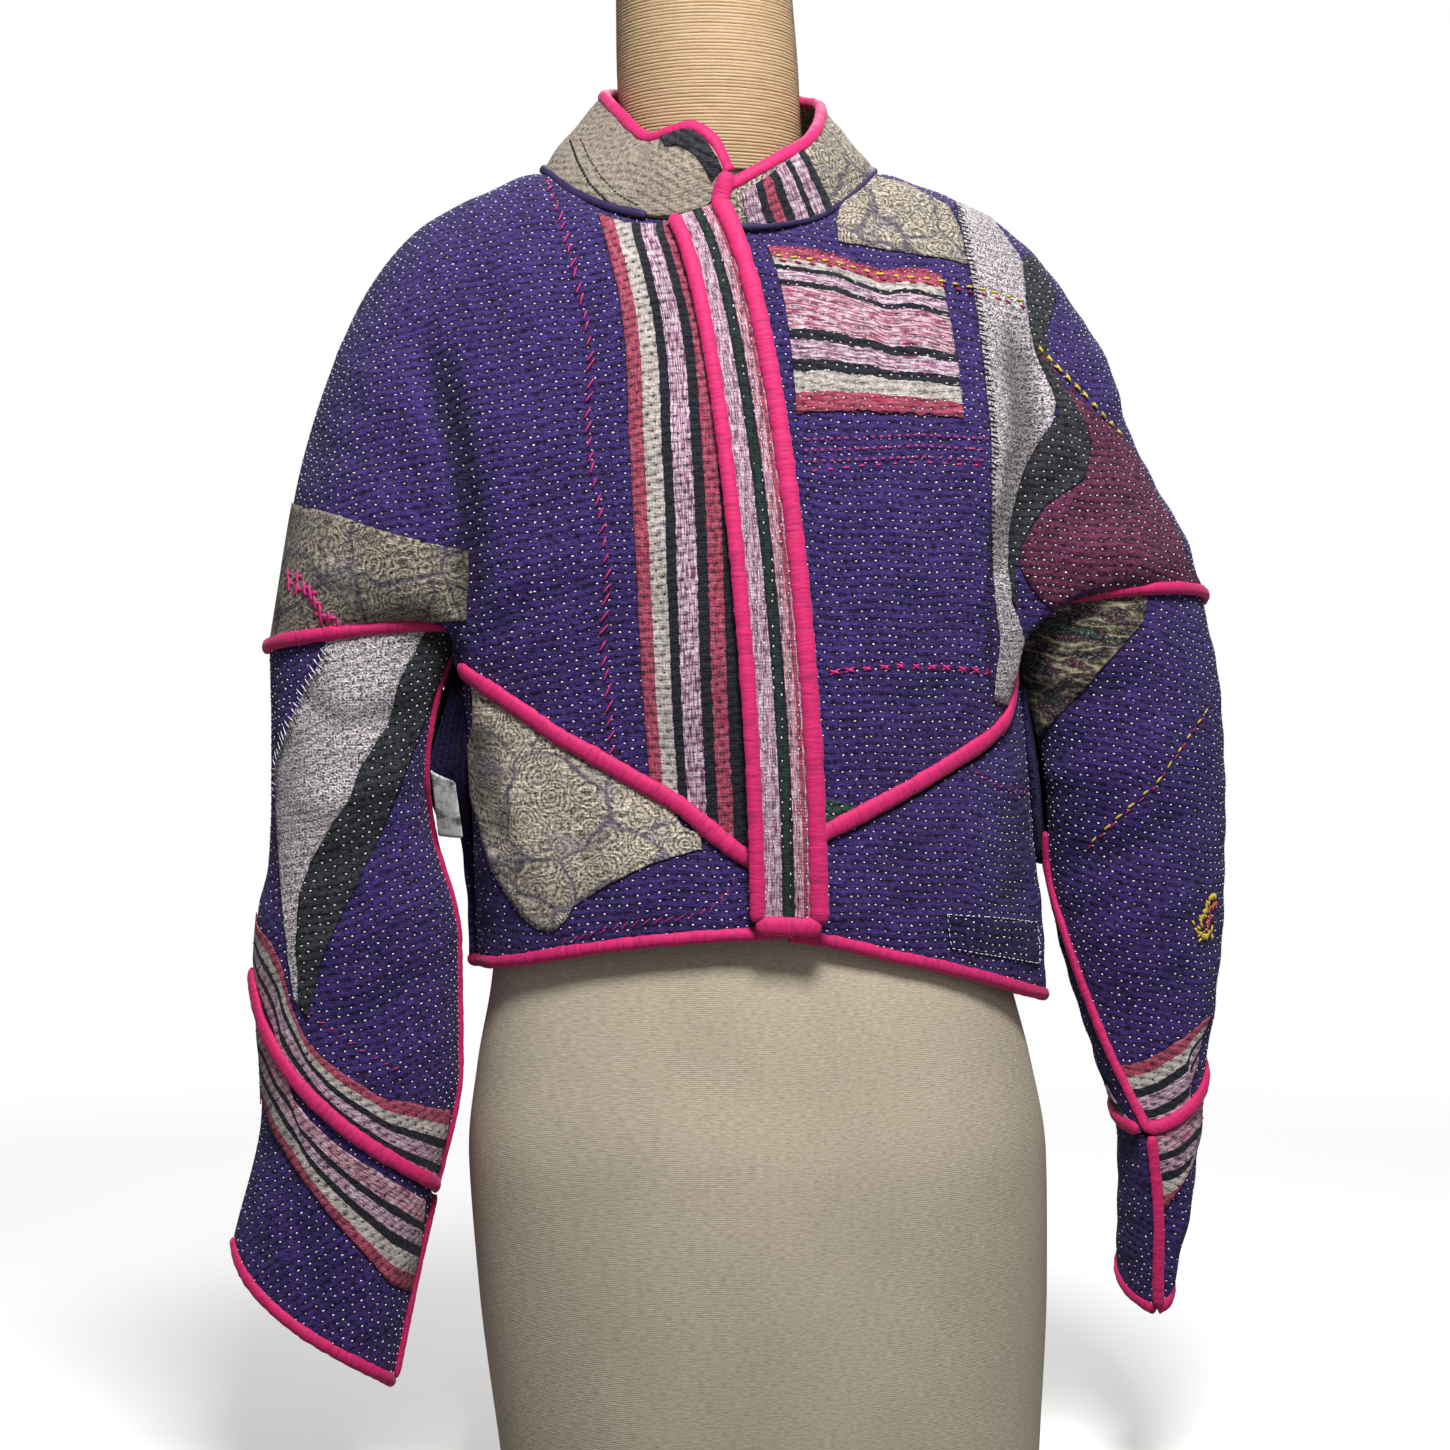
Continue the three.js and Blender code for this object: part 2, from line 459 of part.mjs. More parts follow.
// Bindings that wrap a free edge, past the panel's end
function pastEnd(rows, after) {
  return rows.map((row) => {
    const [hx, hy, hz] = [row.side, -row.endOut, row.rise];
    const size = Math.hypot(hx, hy, hz);
    const run = [hx / size, hy / size, hz / size].map((value) => -value * (edgeWide + seamGap));
    const start = run.map((value) => value * after / edgeWide);
    const at = [row.endX, row.endY, row.endZ];
    return {
      topX: at[0] + start[0], topY: at[1] + start[1], topZ: at[2] + start[2], lean: 0.33, out: 0, drop: 0,
      endX: at[0] + run[0], endY: at[1] + run[1], endZ: at[2] + run[2], side: 0, endOut: 0, rise: 0,
    };
  });
}
function edgeBinding(name, rows, outside, steps, after, u = [0.004, 0.996]) {
  const panel = surface(pastEnd(rows, after));
  add(name, sheet(panel, { u, nu: steps, nv: 1, thick: edgeThick, outside }), colours.binding);
}
edgeBinding("binding_hem_right", lowerRightRows, -1, 12, 1.6, [0.004, 12 / 14]);
edgeBinding("binding_hem_left", lowerLeftRows, 1, 12, 3, [0.012, 12 / 14]);
edgeBinding("binding_hem_back", lowerBackRows, 1, 23, 0.5);

// Cuff edges, along the last row of each cuff
function cuffEdge(name, rows, outside) {
  const last = rows[rows.length - 1];
  const moved = (row, fall) => ({ ...row, topZ: row.topZ - fall, endZ: row.endZ - fall });
  const panel = surface([moved(last, seamGap * 2), moved(last, edgeWide)]);
  add(name, sheet(panel, { v: [0.01, 0.99], nu: 1, nv: 10, thick: edgeThick, outside }), colours.binding);
}
cuffEdge("binding_cuff_right", cuffRightRows, 1);
cuffEdge("binding_cuff_left", cuffLeftRows, -1);
cuffEdge("binding_cuff_right_back", behind(cuffRightRows), -1);
cuffEdge("binding_cuff_left_back", cuffLeftBackRows, 1);
seamBinding("binding_cuff_seam_right", cuffs.right, "end1", 0.04, 0.97, 6, overPanel, seamWide);
seamBinding("binding_cuff_seam_left", cuffs.left, "end1", 0.04, 0.97, 6, overPanel, seamWide);

// Collar edges, along the tops of the two collar halves
function topEdge(name, rows, outside, steps, above) {
  const u = [0.004, 0.996];
  const panel = surface(rows.map((row) => ({
    ...row, topZ: row.topZ + edgeWide, lean: 0, out: 0, drop: 0,
    endX: row.topX, endY: row.topY, endZ: row.topZ + above, side: 0, endOut: 0, rise: 0,
  })));
  add(name, sheet(panel, { u, nu: steps, nv: 1, thick: edgeThick, outside }), colours.binding);
}
topEdge("binding_collar_right", collarRightRows, 1, 20, 3);
topEdge("binding_collar_left", collarLeftRows, -1, 16, 1.8);

// The placket's own binding: two long edges and the foot
const overPlacket = placketLift + overPanel;
const onPlacket = { panel: placket, outside: -1 };
const innerWide = 9;
seamBinding("binding_placket_outer", onPlacket, "row1", ...placketSpan, 16, overPlacket);
seamBinding("binding_placket_inner", onPlacket, "row0", ...placketSpan, 16, overPlacket, innerWide);
const foot = { wide: 10, start: placketSpan[1] + 0.001, lift: placketLift + 1 };
add("binding_placket_foot", sheet(placket, {
  nu: 2, nv: 1, v: [foot.start, foot.start + shareV(placket, foot.wide)], lift: foot.lift, thick: edgeThick, outside: -1,
}), colours.binding);

// The form: smooth torso, wound neck and its cap, as stacked ovals
function ovals(rows, around) {
  const positions = [];
  const faces = [];
  for (const [z, centreX, centreY, halfWide, halfDeep] of rows) {
    for (let k = 0; k < around; k++) {
      const angle = (2 * Math.PI * k) / around;
      positions.push(centreX + halfWide * Math.cos(angle), centreY + halfDeep * Math.sin(angle), z);
    }
  }
  const at = (i, k) => i * around + (k % around);
  for (let i = 0; i < rows.length - 1; i++) {
    for (let k = 0; k < around; k++) {
      faces.push(at(i, k), at(i, k + 1), at(i + 1, k + 1), at(i, k), at(i + 1, k + 1), at(i + 1, k));
    }
  }
  const caps = [[0, 1], [rows.length - 1, -1]];
  for (const [row, way] of caps) {
    const centre = positions.length / 3;
    positions.push(rows[row][1], rows[row][2], rows[row][0]);
    for (let k = 0; k < around; k++) {
      const pair = way > 0 ? [at(row, k + 1), at(row, k)] : [at(row, k), at(row, k + 1)];
      faces.push(centre, ...pair);
    }
  }
  return closedGeometry(positions, faces);
}
const axisX = (z) => leanPerHeight * (z - 36);
const torso = [[0, 176, 116, 0], [47, 180, 120, -2], [140, 188, 126, -4], [228, 191, 127, -6], [290, 183, 119, -8],
  [340, 172, 112, -9], [390, 164, 104, -9], [460, 150, 96, -9], [530, 142, 92, -8], [620, 148, 96, -8],
  [700, 155, 96, -6], [750, 160, 86, -5], [795, 164, 74, -3], [822, 162, 60, -1], [840, 152, 36, -4], [852, 132, 28, -3],
  [860, 106, 34, -1], [864, 66, 48, 2]];
add("form_torso", ovals(torso.map(([z, wide, deep, y]) => [z, z === 0 ? 0 : axisX(z), z === 0 ? 0 : y, wide, deep]), 32),
  colours.linen);
const neck = [[864 + clear, 61, 50, 2], [890, 60, 54, 2], [930, 60, 57, 2], [capFrom - clear, 58, 58, 2]];
add("form_neck", ovals(neck.map(([z, wide, deep, y]) => [z, axisX(z), y, wide, deep]), 32), colours.cord);
const cap = [[capFrom, 57, 57, 2], [capFrom + 6, 55, 55, 2], [capFrom + 10, 48, 48, 2], [capFrom + 12, 36, 36, 2]];
add("form_cap", ovals(cap.map(([z, wide, deep, y]) => [z, axisX(z), y, wide, deep]), 32), colours.cord);

export default jacket;
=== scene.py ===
import math

import bpy
import numpy as np
from mathutils.bvhtree import BVHTree
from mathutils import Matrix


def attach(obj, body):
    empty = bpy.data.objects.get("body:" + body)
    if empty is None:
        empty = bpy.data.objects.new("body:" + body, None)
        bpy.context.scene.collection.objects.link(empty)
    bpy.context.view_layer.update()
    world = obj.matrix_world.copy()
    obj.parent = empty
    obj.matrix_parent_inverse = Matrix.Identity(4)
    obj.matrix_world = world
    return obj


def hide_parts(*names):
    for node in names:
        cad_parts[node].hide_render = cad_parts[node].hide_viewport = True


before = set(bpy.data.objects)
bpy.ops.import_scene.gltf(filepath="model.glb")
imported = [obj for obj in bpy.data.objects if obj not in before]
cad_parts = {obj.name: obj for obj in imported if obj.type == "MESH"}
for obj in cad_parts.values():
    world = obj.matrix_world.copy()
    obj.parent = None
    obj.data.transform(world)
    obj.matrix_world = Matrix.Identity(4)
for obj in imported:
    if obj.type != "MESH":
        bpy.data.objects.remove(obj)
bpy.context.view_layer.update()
bpy.ops.object.select_all(action="DESELECT")
rng = np.random.default_rng(11)
mm = 0.001
fullTurn = 2 * math.pi
print("frame ready")

# The front view: where the camera stands, and its frame of 1450 steps across and down
frontView = {
    "place": (-0.3604, -1.8657, 0.510), "right": (0.9848, -0.1736, 0.0), "forward": (0.1736, 0.9848, 0.0),
    "focal": 2879.0, "across": 1450, "middle": 725.0, "sensor": 36,
}
quilting = {
    "thick": 0.003, "row": 0.0052, "stitch": 0.0066, "drift": 0.12, "sway": 2.4, "jitter": 0.12,
    "long": 0.0018, "wide": 0.0010, "high": 0.0009, "loose": 1.15,
}


def frontSpot(points):
    away = points - np.array(frontView["place"])
    deep = away @ np.array(frontView["forward"])
    across = frontView["focal"] * (away @ np.array(frontView["right"])) / deep
    down = -frontView["focal"] * away[..., 2] / deep
    return np.stack([frontView["middle"] + across, frontView["middle"] + down], -1)


# Small steps that the node trees are made of
def linear(colour):
    values = [int(colour[i:i + 2], 16) / 255 for i in (1, 3, 5)]
    return tuple(v / 12.92 if v <= 0.04045 else ((v + 0.055) / 1.055) ** 2.4 for v in values) + (1.0,)


def scaled(colour, share):
    return tuple(min(1, share * v) for v in colour[:3]) + (1,)


def plug(tree, socket, value):
    if isinstance(value, bpy.types.NodeSocket):
        tree.links.new(value, socket)
    else:
        socket.default_value = value


def addNode(tree, kind, settings=None, **inputs):
    node = tree.nodes.new(kind)
    for key, value in (settings or {}).items():
        setattr(node, key, value)
    for key, value in inputs.items():
        plug(tree, node.inputs[key.replace("_", " ")], value)
    return node


def calc(tree, operation, a, b=0.0):
    node = addNode(tree, "ShaderNodeMath", {"operation": operation})
    for socket, value in zip(node.inputs, (a, b)):
        plug(tree, socket, value)
    return node.outputs[0]


def times(tree, a, b):
    return calc(tree, "MULTIPLY", a, b)


def plus(tree, a, b):
    return calc(tree, "ADD", a, b)


def minus(tree, a, b):
    return calc(tree, "SUBTRACT", a, b)


def pull(tree, vector, index):
    return addNode(tree, "ShaderNodeSeparateXYZ", Vector=vector).outputs[index]


def joined(tree, x, y=0.0):
    return addNode(tree, "ShaderNodeCombineXYZ", X=x, Y=y).outputs[0]


def tint(tree, factor, a, b, mode="MIX"):
    node = addNode(tree, "ShaderNodeMix", {"data_type": "RGBA", "blend_type": mode, "clamp_factor": True})
    for index, value in ((0, factor), (6, a), (7, b)):
        plug(tree, node.inputs[index], value)
    return node.outputs[2]


def ramp(tree, factor, stops, steady=False):
    node = addNode(tree, "ShaderNodeValToRGB")
    node.color_ramp.interpolation = "CONSTANT" if steady else "LINEAR"
    marks = node.color_ramp.elements
    while len(marks) < len(stops):
        marks.new(0.5)
    for mark, (place, colour) in zip(marks, stops):
        mark.position = place
    for mark, (place, colour) in zip(marks, stops):
        mark.color = linear(colour) if isinstance(colour, str) else (colour, colour, colour, 1)
    plug(tree, node.inputs[0], factor)
    return node.outputs[0]


def noise(tree, vector, scale, detail=2.0, rough=0.5):
    node = addNode(tree, "ShaderNodeTexNoise", Scale=scale, Detail=detail, Roughness=rough)
    plug(tree, node.inputs["Vector"], vector)
    return node.outputs[0]


def uvOf(tree, name):
    return addNode(tree, "ShaderNodeUVMap", {"uv_map": name}).outputs[0]


def objectPlace(tree):
    return addNode(tree, "ShaderNodeTexCoord").outputs["Object"]


def stretched(tree, vector, x, y, turn=0.0):
    node = addNode(tree, "ShaderNodeMapping", {"vector_type": "POINT"})
    plug(tree, node.inputs["Vector"], vector)
    node.inputs["Rotation"].default_value = (0, 0, turn)
    node.inputs["Scale"].default_value = (x, y, 1)
    return node.outputs[0]


def grain(tree, flat, x, y, detail=2.0, rough=0.5, turn=0.0):
    return noise(tree, stretched(tree, flat, x, y, turn), 1.0, detail, rough)


def wandering(tree, flat, scale, reach):
    wander = addNode(tree, "ShaderNodeTexNoise", Scale=1.0, Detail=1.0,
                     Vector=stretched(tree, flat, scale, scale))
    sway = addNode(tree, "ShaderNodeVectorMath", {"operation": "SCALE"}, Scale=reach)
    bent = addNode(tree, "ShaderNodeVectorMath", {"operation": "ADD"})
    plug(tree, sway.inputs[0], wander.outputs["Color"])
    plug(tree, bent.inputs[0], flat)
    plug(tree, bent.inputs[1], sway.outputs[0])
    return bent.outputs[0]


def newMaterial(name, rough):
    material = bpy.data.materials.new(name)
    material.use_nodes = True
    shader = material.node_tree.nodes["Principled BSDF"]
    shader.inputs["Roughness"].default_value = rough
    return material, material.node_tree, shader


def setRelief(tree, shader, height, strength, distance):
    bump = addNode(tree, "ShaderNodeBump", Strength=strength, Distance=distance, Height=height)
    tree.links.new(bump.outputs[0], shader.inputs["Normal"])


# The cloth swells between the rows of stitches and is pinched at every stitch, with finer wrinkles all over;
# the same height also paints shade into the hollows and highlight onto the swells
swelling = {"pinch": 0.35, "ridge": 0.28, "wrinkle": 0.95, "ripple": 0.75, "level": 0.45}


def puckers(tree):
    a, b = (pull(tree, uvOf(tree, "quilt"), k) for k in (0, 1))
    row = calc(tree, "FLOOR", plus(tree, b, 0.5))
    off = times(tree, calc(tree, "ABSOLUTE", minus(tree, b, row)), 2.0)
    sway = calc(tree, "SINE", times(tree, row, quilting["sway"]))
    shift = plus(tree, times(tree, row, 0.5), times(tree, sway, quilting["drift"]))
    pinch = calc(tree, "COSINE", times(tree, minus(tree, a, shift), fullTurn))
    ridge = calc(tree, "SINE", times(tree, off, math.pi / 2))
    near = minus(tree, 1.0, off)
    high = minus(tree, ridge, times(tree, times(tree, pinch, near), swelling["pinch"]))
    flat = uvOf(tree, "flat")
    wrinkle = times(tree, grain(tree, flat, 330, 190, rough=0.6, turn=0.5), swelling["wrinkle"])
    ripple = times(tree, grain(tree, flat, 120, 250, rough=0.6, turn=-0.4), swelling["ripple"])
    raised = plus(tree, times(tree, high, swelling["ridge"]), plus(tree, wrinkle, ripple))
    return minus(tree, raised, swelling["level"])


# The fold shades are painted light: the colour is darker in crease troughs and lighter on crease ridges
clothLook = {
    "rough": 0.92, "sheen": 0.08, "sheenRough": 0.5, "shine": 0.25, "weavePitch": 0.0009, "weaveShare": 0.7,
    "embroidery": 0.0011, "foldPaintedShading": [(0.0, 1.15), (0.45, 1.0), (0.55, 1.0), (1.0, 0.38)],
}


def clothMaterial(name, colouring, relief=None, pucker=0.0058, weave=0.00022, fade=0.16, shade=0.2, gain=1.0):
    material, tree, shader = newMaterial(name, clothLook["rough"])
    flat = uvOf(tree, "flat")
    height = puckers(tree)
    faded = [(0.3, (1 - fade) * gain), (0.7, (1 + fade * 0.6) * gain)]
    # Painted shade and highlight: the colour darkens in the pucker hollows and lightens on the swells; shade
    # sets the darkest share
    puckerPaintedShading = [(0.30, shade), (0.50, 0.75 + 0.25 * shade), (0.62, 1.05), (0.85, 1.55 - 0.5 * shade)]
    colour = colouring(tree, flat)
    # Each ramp multiplies the colour: random fading, the painted shade of the puckers, the painted shade and
    # highlight of the creases
    for factor, stops in ((grain(tree, flat, 22, 14, 3.0, 0.6), faded), (height, puckerPaintedShading),
                          (pull(tree, uvOf(tree, "fold"), 0), clothLook["foldPaintedShading"])):
        colour = tint(tree, 1.0, colour, ramp(tree, factor, stops), "MULTIPLY")
    tree.links.new(colour, shader.inputs["Base Color"])
    shader.inputs["Sheen Weight"].default_value = clothLook["sheen"]
    shader.inputs["Sheen Roughness"].default_value = clothLook["sheenRough"]
    shader.inputs["Specular IOR Level"].default_value = clothLook["shine"]
    soft = addNode(tree, "ShaderNodeBump", Strength=1.0, Distance=pucker, Height=height)
    if relief:
        soft = addNode(tree, "ShaderNodeBump", Strength=1.0, Distance=clothLook["embroidery"],
                       Height=relief(tree, flat), Normal=soft.outputs[0])
    pitch = fullTurn / clothLook["weavePitch"]
    yarns = [calc(tree, "SINE", times(tree, pull(tree, flat, k), pitch)) for k in (0, 1)]
    fibres = plus(tree, plus(tree, *yarns), grain(tree, flat, 900, 900))
    fine = addNode(tree, "ShaderNodeBump", Strength=clothLook["weaveShare"], Distance=weave, Height=fibres,
                   Normal=soft.outputs[0])
    tree.links.new(fine.outputs[0], shader.inputs["Normal"])
    return material


def plainColour(colour, speck=None, amount=0.35):
    def colouring(tree, flat):
        lit = linear(colour)
        if speck is None:
            return tint(tree, grain(tree, flat, 700, 700), scaled(lit, 0.84), scaled(lit, 1.14))
        share = ramp(tree, grain(tree, flat, 520, 640, rough=0.7), [(0.5, 0.0), (0.62, 1.0)])
        return tint(tree, times(tree, share, amount), lit, linear(speck))
    return colouring


def tweedColour(tree, flat):
    fleck = grain(tree, flat, 640, 820, 1.0, 0.9)
    return ramp(tree, fleck, [(0.36, "#26232A"), (0.43, "#7C7278"), (0.50, "#BFB4B8"), (0.62, "#E4DCDC")])


# The cream cloth: rings of stitching in cells, with darker veins between larger cells
creamPattern = {
    "cells": 66.0, "rings": 6.2, "ringDeep": 0.10, "bend": (60, 0.010), "veins": 19.0, "veinBend": (40, 0.02),
    "tones": [(0.30, "#433B38"), (0.40, "#83786C"), (0.52, "#BCAF9B"), (0.68, "#E8DDCB")],
}


def creamRelief(tree, flat):
    cells = addNode(tree, "ShaderNodeTexVoronoi", Scale=creamPattern["cells"],
                    Vector=wandering(tree, flat, *creamPattern["bend"]))
    rings = calc(tree, "SINE", times(tree, cells.outputs["Distance"], fullTurn * creamPattern["rings"]))
    return plus(tree, times(tree, rings, creamPattern["ringDeep"]), grain(tree, flat, 620, 620, rough=0.7))


def creamColour(tree, flat):
    tone = ramp(tree, creamRelief(tree, flat), creamPattern["tones"])
    violet = ramp(tree, grain(tree, flat, 30, 40), [(0.56, 0.0), (0.66, 0.4)])
    tone = tint(tree, violet, tone, linear("#857B90"))
    veins = addNode(tree, "ShaderNodeTexVoronoi", {"feature": "DISTANCE_TO_EDGE"},
                    Scale=creamPattern["veins"])
    tree.links.new(wandering(tree, flat, *creamPattern["veinBend"]), veins.inputs["Vector"])
    line = ramp(tree, veins.outputs["Distance"], [(0.012, 0.7), (0.035, 0.0)])
    return tint(tree, line, tone, linear("#564A68"))


def ikatColour(tree, flat):
    band = grain(tree, flat, 30, 105, 1.0, turn=-0.75)
    tone = ramp(tree, band, [
        (0.34, "#27473C"), (0.42, "#1F1A28"), (0.46, "#5A2844"), (0.50, "#3A2F38"), (0.54, "#B0A68A"),
        (0.58, "#5E5D42"), (0.66, "#1F1830")])
    fleck = ramp(tree, grain(tree, flat, 500, 700, 1.0, 0.8), [(0.54, 0.0), (0.62, 0.7)])
    return tint(tree, fleck, tone, linear("#A0977F"))


def stripeColour(bands):
    def colouring(tree, flat):
        along, across = (pull(tree, uvOf(tree, "band"), k) for k in (0, 1))
        ragged = times(tree, minus(tree, grain(tree, flat, 210, 210), 0.5), 0.035)
        place = plus(tree, across, ragged)
        tone = ramp(tree, place, bands, steady=True)
        lined = ramp(tree, place, [(at, linedShare.get(shade, 0.0)) for at, shade in bands], steady=True)
        line = noise(tree, joined(tree, times(tree, along, 90.0), times(tree, across, 84.0)), 1.0, 1.0, 0.4)
        pale = times(tree, ramp(tree, line, [(0.47, 0.0), (0.55, 0.85)]), lined)
        deep = times(tree, ramp(tree, line, [(0.36, 0.8), (0.44, 0.0)]), lined)
        return tint(tree, deep, tint(tree, pale, tone, linear("#DECBD2")), linear("#7A3558"))
    return colouring


dark, crimson, beige, mauve, rose = "#1F212B", "#A53A56", "#BDB5AC", "#A87C98", "#B5687F"
linedShare = {mauve: 1.0, rose: 0.9, beige: 0.25, crimson: 0.12}
stripeSets = {
    "placket": [(0.0, mauve), (0.41, dark), (0.45, "#1F332F"), (0.55, dark), (0.60, rose), (0.74, crimson),
        (0.80, rose)],
    "right": [(0.0, crimson), (0.16, beige), (0.33, dark), (0.43, mauve), (0.62, dark), (0.72, crimson),
        (0.85, dark)],
    "chest": [(0.0, crimson), (0.11, beige), (0.17, dark), (0.205, mauve), (0.28, dark), (0.32, rose),
        (0.58, dark), (0.64, mauve), (0.74, dark), (0.80, beige), (0.90, crimson)],
    "sleeve": [(0.0, crimson), (0.18, beige), (0.36, dark), (0.48, mauve), (0.68, dark), (0.80, rose)],
    "collar": [(0.0, dark), (0.10, mauve), (0.24, dark), (0.32, mauve), (0.48, dark), (0.58, crimson),
        (0.70, dark), (0.8, mauve)],
    "cuff": [(0.0, rose), (0.26, dark), (0.36, mauve), (0.54, dark), (0.66, beige), (0.84, crimson)],
}
embroidered = dict(relief=creamRelief, pucker=0.0024, weave=0.0004)
finishes = {
    "purple": clothMaterial("purple cotton", plainColour("#39266B", "#4E3C8A", 0.4)),
    # A darker copy of the purple: painted shade for the recessed underarm gussets; the mended patch uses it
    # too
    "plum": clothMaterial("shaded plum cotton", plainColour("#271B52", "#3A2D74")),
    "wine": clothMaterial("wine cotton", plainColour("#66284A", "#864062", 0.5)),
    "charcoal": clothMaterial("charcoal cotton", plainColour("#2F3137", "#45484E", 0.6)),
    "green": clothMaterial("green cotton", plainColour("#2A4A3E", "#416655", 0.6)),
    "tweed": clothMaterial("speckled tweed", tweedColour, pucker=0.0016, weave=0.0003, shade=0.5, gain=1.1),
    "cream": clothMaterial("embroidered cream", creamColour, shade=0.55, **embroidered),
    # A darker copy of the embroidered cream, for the patch by the right armpit
    "dullCream": clothMaterial("darker embroidered cream", creamColour, shade=0.4, gain=0.78, **embroidered),
    "paleCream": clothMaterial("pale embroidered cream", creamColour, shade=0.6, gain=1.3, **embroidered),
    "collarCloth": clothMaterial("soft cream", plainColour("#B9AB9A", "#82786E", 0.8), pucker=0.0020,
                                 weave=0.0003, shade=0.55, gain=0.88),
    "ikat": clothMaterial("streaked cotton", ikatColour, pucker=0.0024, weave=0.0004),
}
for key, bands in stripeSets.items():
    name = key + " stripes"
    finishes[key + "Stripes"] = clothMaterial(name, stripeColour(bands), pucker=0.0026, shade=0.45)


def threadMaterial(name, colour):
    material, tree, shader = newMaterial(name, 0.7)
    twist = noise(tree, objectPlace(tree), 1400.0, 1.0)
    lit = linear(colour)
    tree.links.new(tint(tree, twist, scaled(lit, 0.78), lit), shader.inputs["Base Color"])
    return material


threadColours = {
    "white": "#F6F2FC", "dark": "#2A2238", "pink": "#C92C78", "yellow": "#D8BB3E", "red": "#A81E44",
    "black": "#1D1B22", "salmon": "#D9705A", "magenta": "#8A2A72",
}
threads = {key: threadMaterial(key + " thread", colour) for key, colour in threadColours.items()}


def bindingMaterial(name, colour, deep, sheen):
    material, tree, shader = newMaterial(name, 0.72)
    along, around = (pull(tree, uvOf(tree, "roll"), k) for k in (0, 1))
    gather = noise(tree, joined(tree, times(tree, along, 420.0), times(tree, around, 2.2)), 1.0, 2.0, 0.55)
    broad = noise(tree, joined(tree, times(tree, along, 28.0)), 1.0)
    uneven = plus(tree, times(tree, gather, 0.7), times(tree, broad, 0.3))
    # Painted shade: the deeper colour follows the hollows of the gathers, which also drive the bump, mixed
    # with random tone along the roll
    tone = ramp(tree, uneven, [(0.28, deep), (0.5, colour), (0.75, colour)])
    tree.links.new(tone, shader.inputs["Base Color"])
    shader.inputs["Sheen Weight"].default_value = sheen
    setRelief(tree, shader, gather, 0.8, 0.0008)
    return material


# The second colour of each binding is its painted shade in the gathers
finishes["pinkBinding"] = bindingMaterial("pink binding", "#CE1063", "#880C4A", sheen=0.08)
finishes["purpleBinding"] = bindingMaterial("purple roll", "#251547", "#110A26", sheen=0.0)
finishes["tab"] = clothMaterial("woven tab", plainColour("#F2EFE8"), pucker=0.0001, weave=0.0002, fade=0.05)
print("materials ready")

# Panels: each row is one section of the panel, a cubic curve from its top to its end, in millimetres
columnNames = ("topX", "topY", "topZ", "lean", "out", "drop", "endX", "endY", "endZ", "side", "endOut",
               "rise")
column = {name: i for i, name in enumerate(columnNames)}


def table(rows):
    values = np.array(rows, float)
    values[:, [i for i in range(len(columnNames)) if i != column["lean"]]] *= mm
    return values


frontRight = table([
    [-326, 0, 557, 0.00, 66, -8, -209, -36, 574, -5, 44, 6],
    [-320, 0, 596, 0.00, 82, 6, -213, -46, 556, -4, 56, 44],
    [-308, 0, 667, 0.02, 94, 18, -207, -56, 543, -6, 50, 78],
    [-288, 0, 735, 0.02, 88, 14, -197, -67, 532, -2, 32, 110],
    [-262, 0, 792, 0.05, 86, 12, -184, -78, 522, 0, 24, 120],
    [-230, 0, 830, 0.12, 85, 4, -168, -87, 510, 0, 21, 125],
    [-193, 0, 851, 0.16, 90, 0, -150, -96, 497, 0, 16, 125],
    [-156, 0, 866, 0.20, 92, 0, -128, -104, 484, 0, 15, 126],
    [-136, -34, 849, 0.25, 70, 14, -108, -110, 472, 0, 14, 128],
    [-106, -66, 831, 0.30, 50, 30, -80, -117, 455, 0, 13, 134],
    [-80, -81, 827, 0.45, 40, 36, -42, -126, 424, -2, 8, 138],
    [-51, -87, 838, 0.50, 40, 48, 4, -129, 402, -2, 7, 160],
])
frontLeft = table([
    [292, 0, 590, 0.00, 80, -16, 146, -42, 583, 6, 54, 17],
    [281, 0, 633, 0.00, 94, 8, 145, -54, 553, 4, 56, 48],
    [258, 0, 674, 0.03, 96, 12, 143, -62, 530, 3, 48, 84],
    [239, 0, 712, 0.04, 92, 12, 138, -70, 512, 2, 36, 110],
    [227, 0, 750, 0.06, 90, 12, 127, -80, 501, 2, 28, 124],
    [206, 0, 788, 0.10, 88, 12, 110, -92, 490, 1, 22, 130],
    [178, 0, 823, 0.14, 84, 4, 90, -101, 479, 0, 18, 132],
    [142, 0, 849, 0.18, 90, 0, 68, -109, 467, 0, 16, 134],
    [100, 0, 866, 0.20, 96, 0, 44, -115, 455, 0, 14, 135],
    [73, -1, 874, 0.20, 96, 12, 22, -119, 444, 0, 12, 136],
    [45, -38, 855, 0.24, 68, 26, 4, -120, 435, 0, 9, 138],
    [9, -66, 832, 0.28, 46, 34, -18, -120, 424, 0, 8, 140],
    [-70, -76, 822, 0.10, 40, 40, -44, -119, 408, 0, 6, 150],
])
backFlatter = 0.86


def backRow(row, neck=None):
    made = row.copy()
    if neck is None:
        made[column["topY"]] *= -1
    else:
        made[:3] = np.array(neck) * mm
    for name in ("out", "endY", "endOut"):
        made[column[name]] *= -backFlatter
    return made


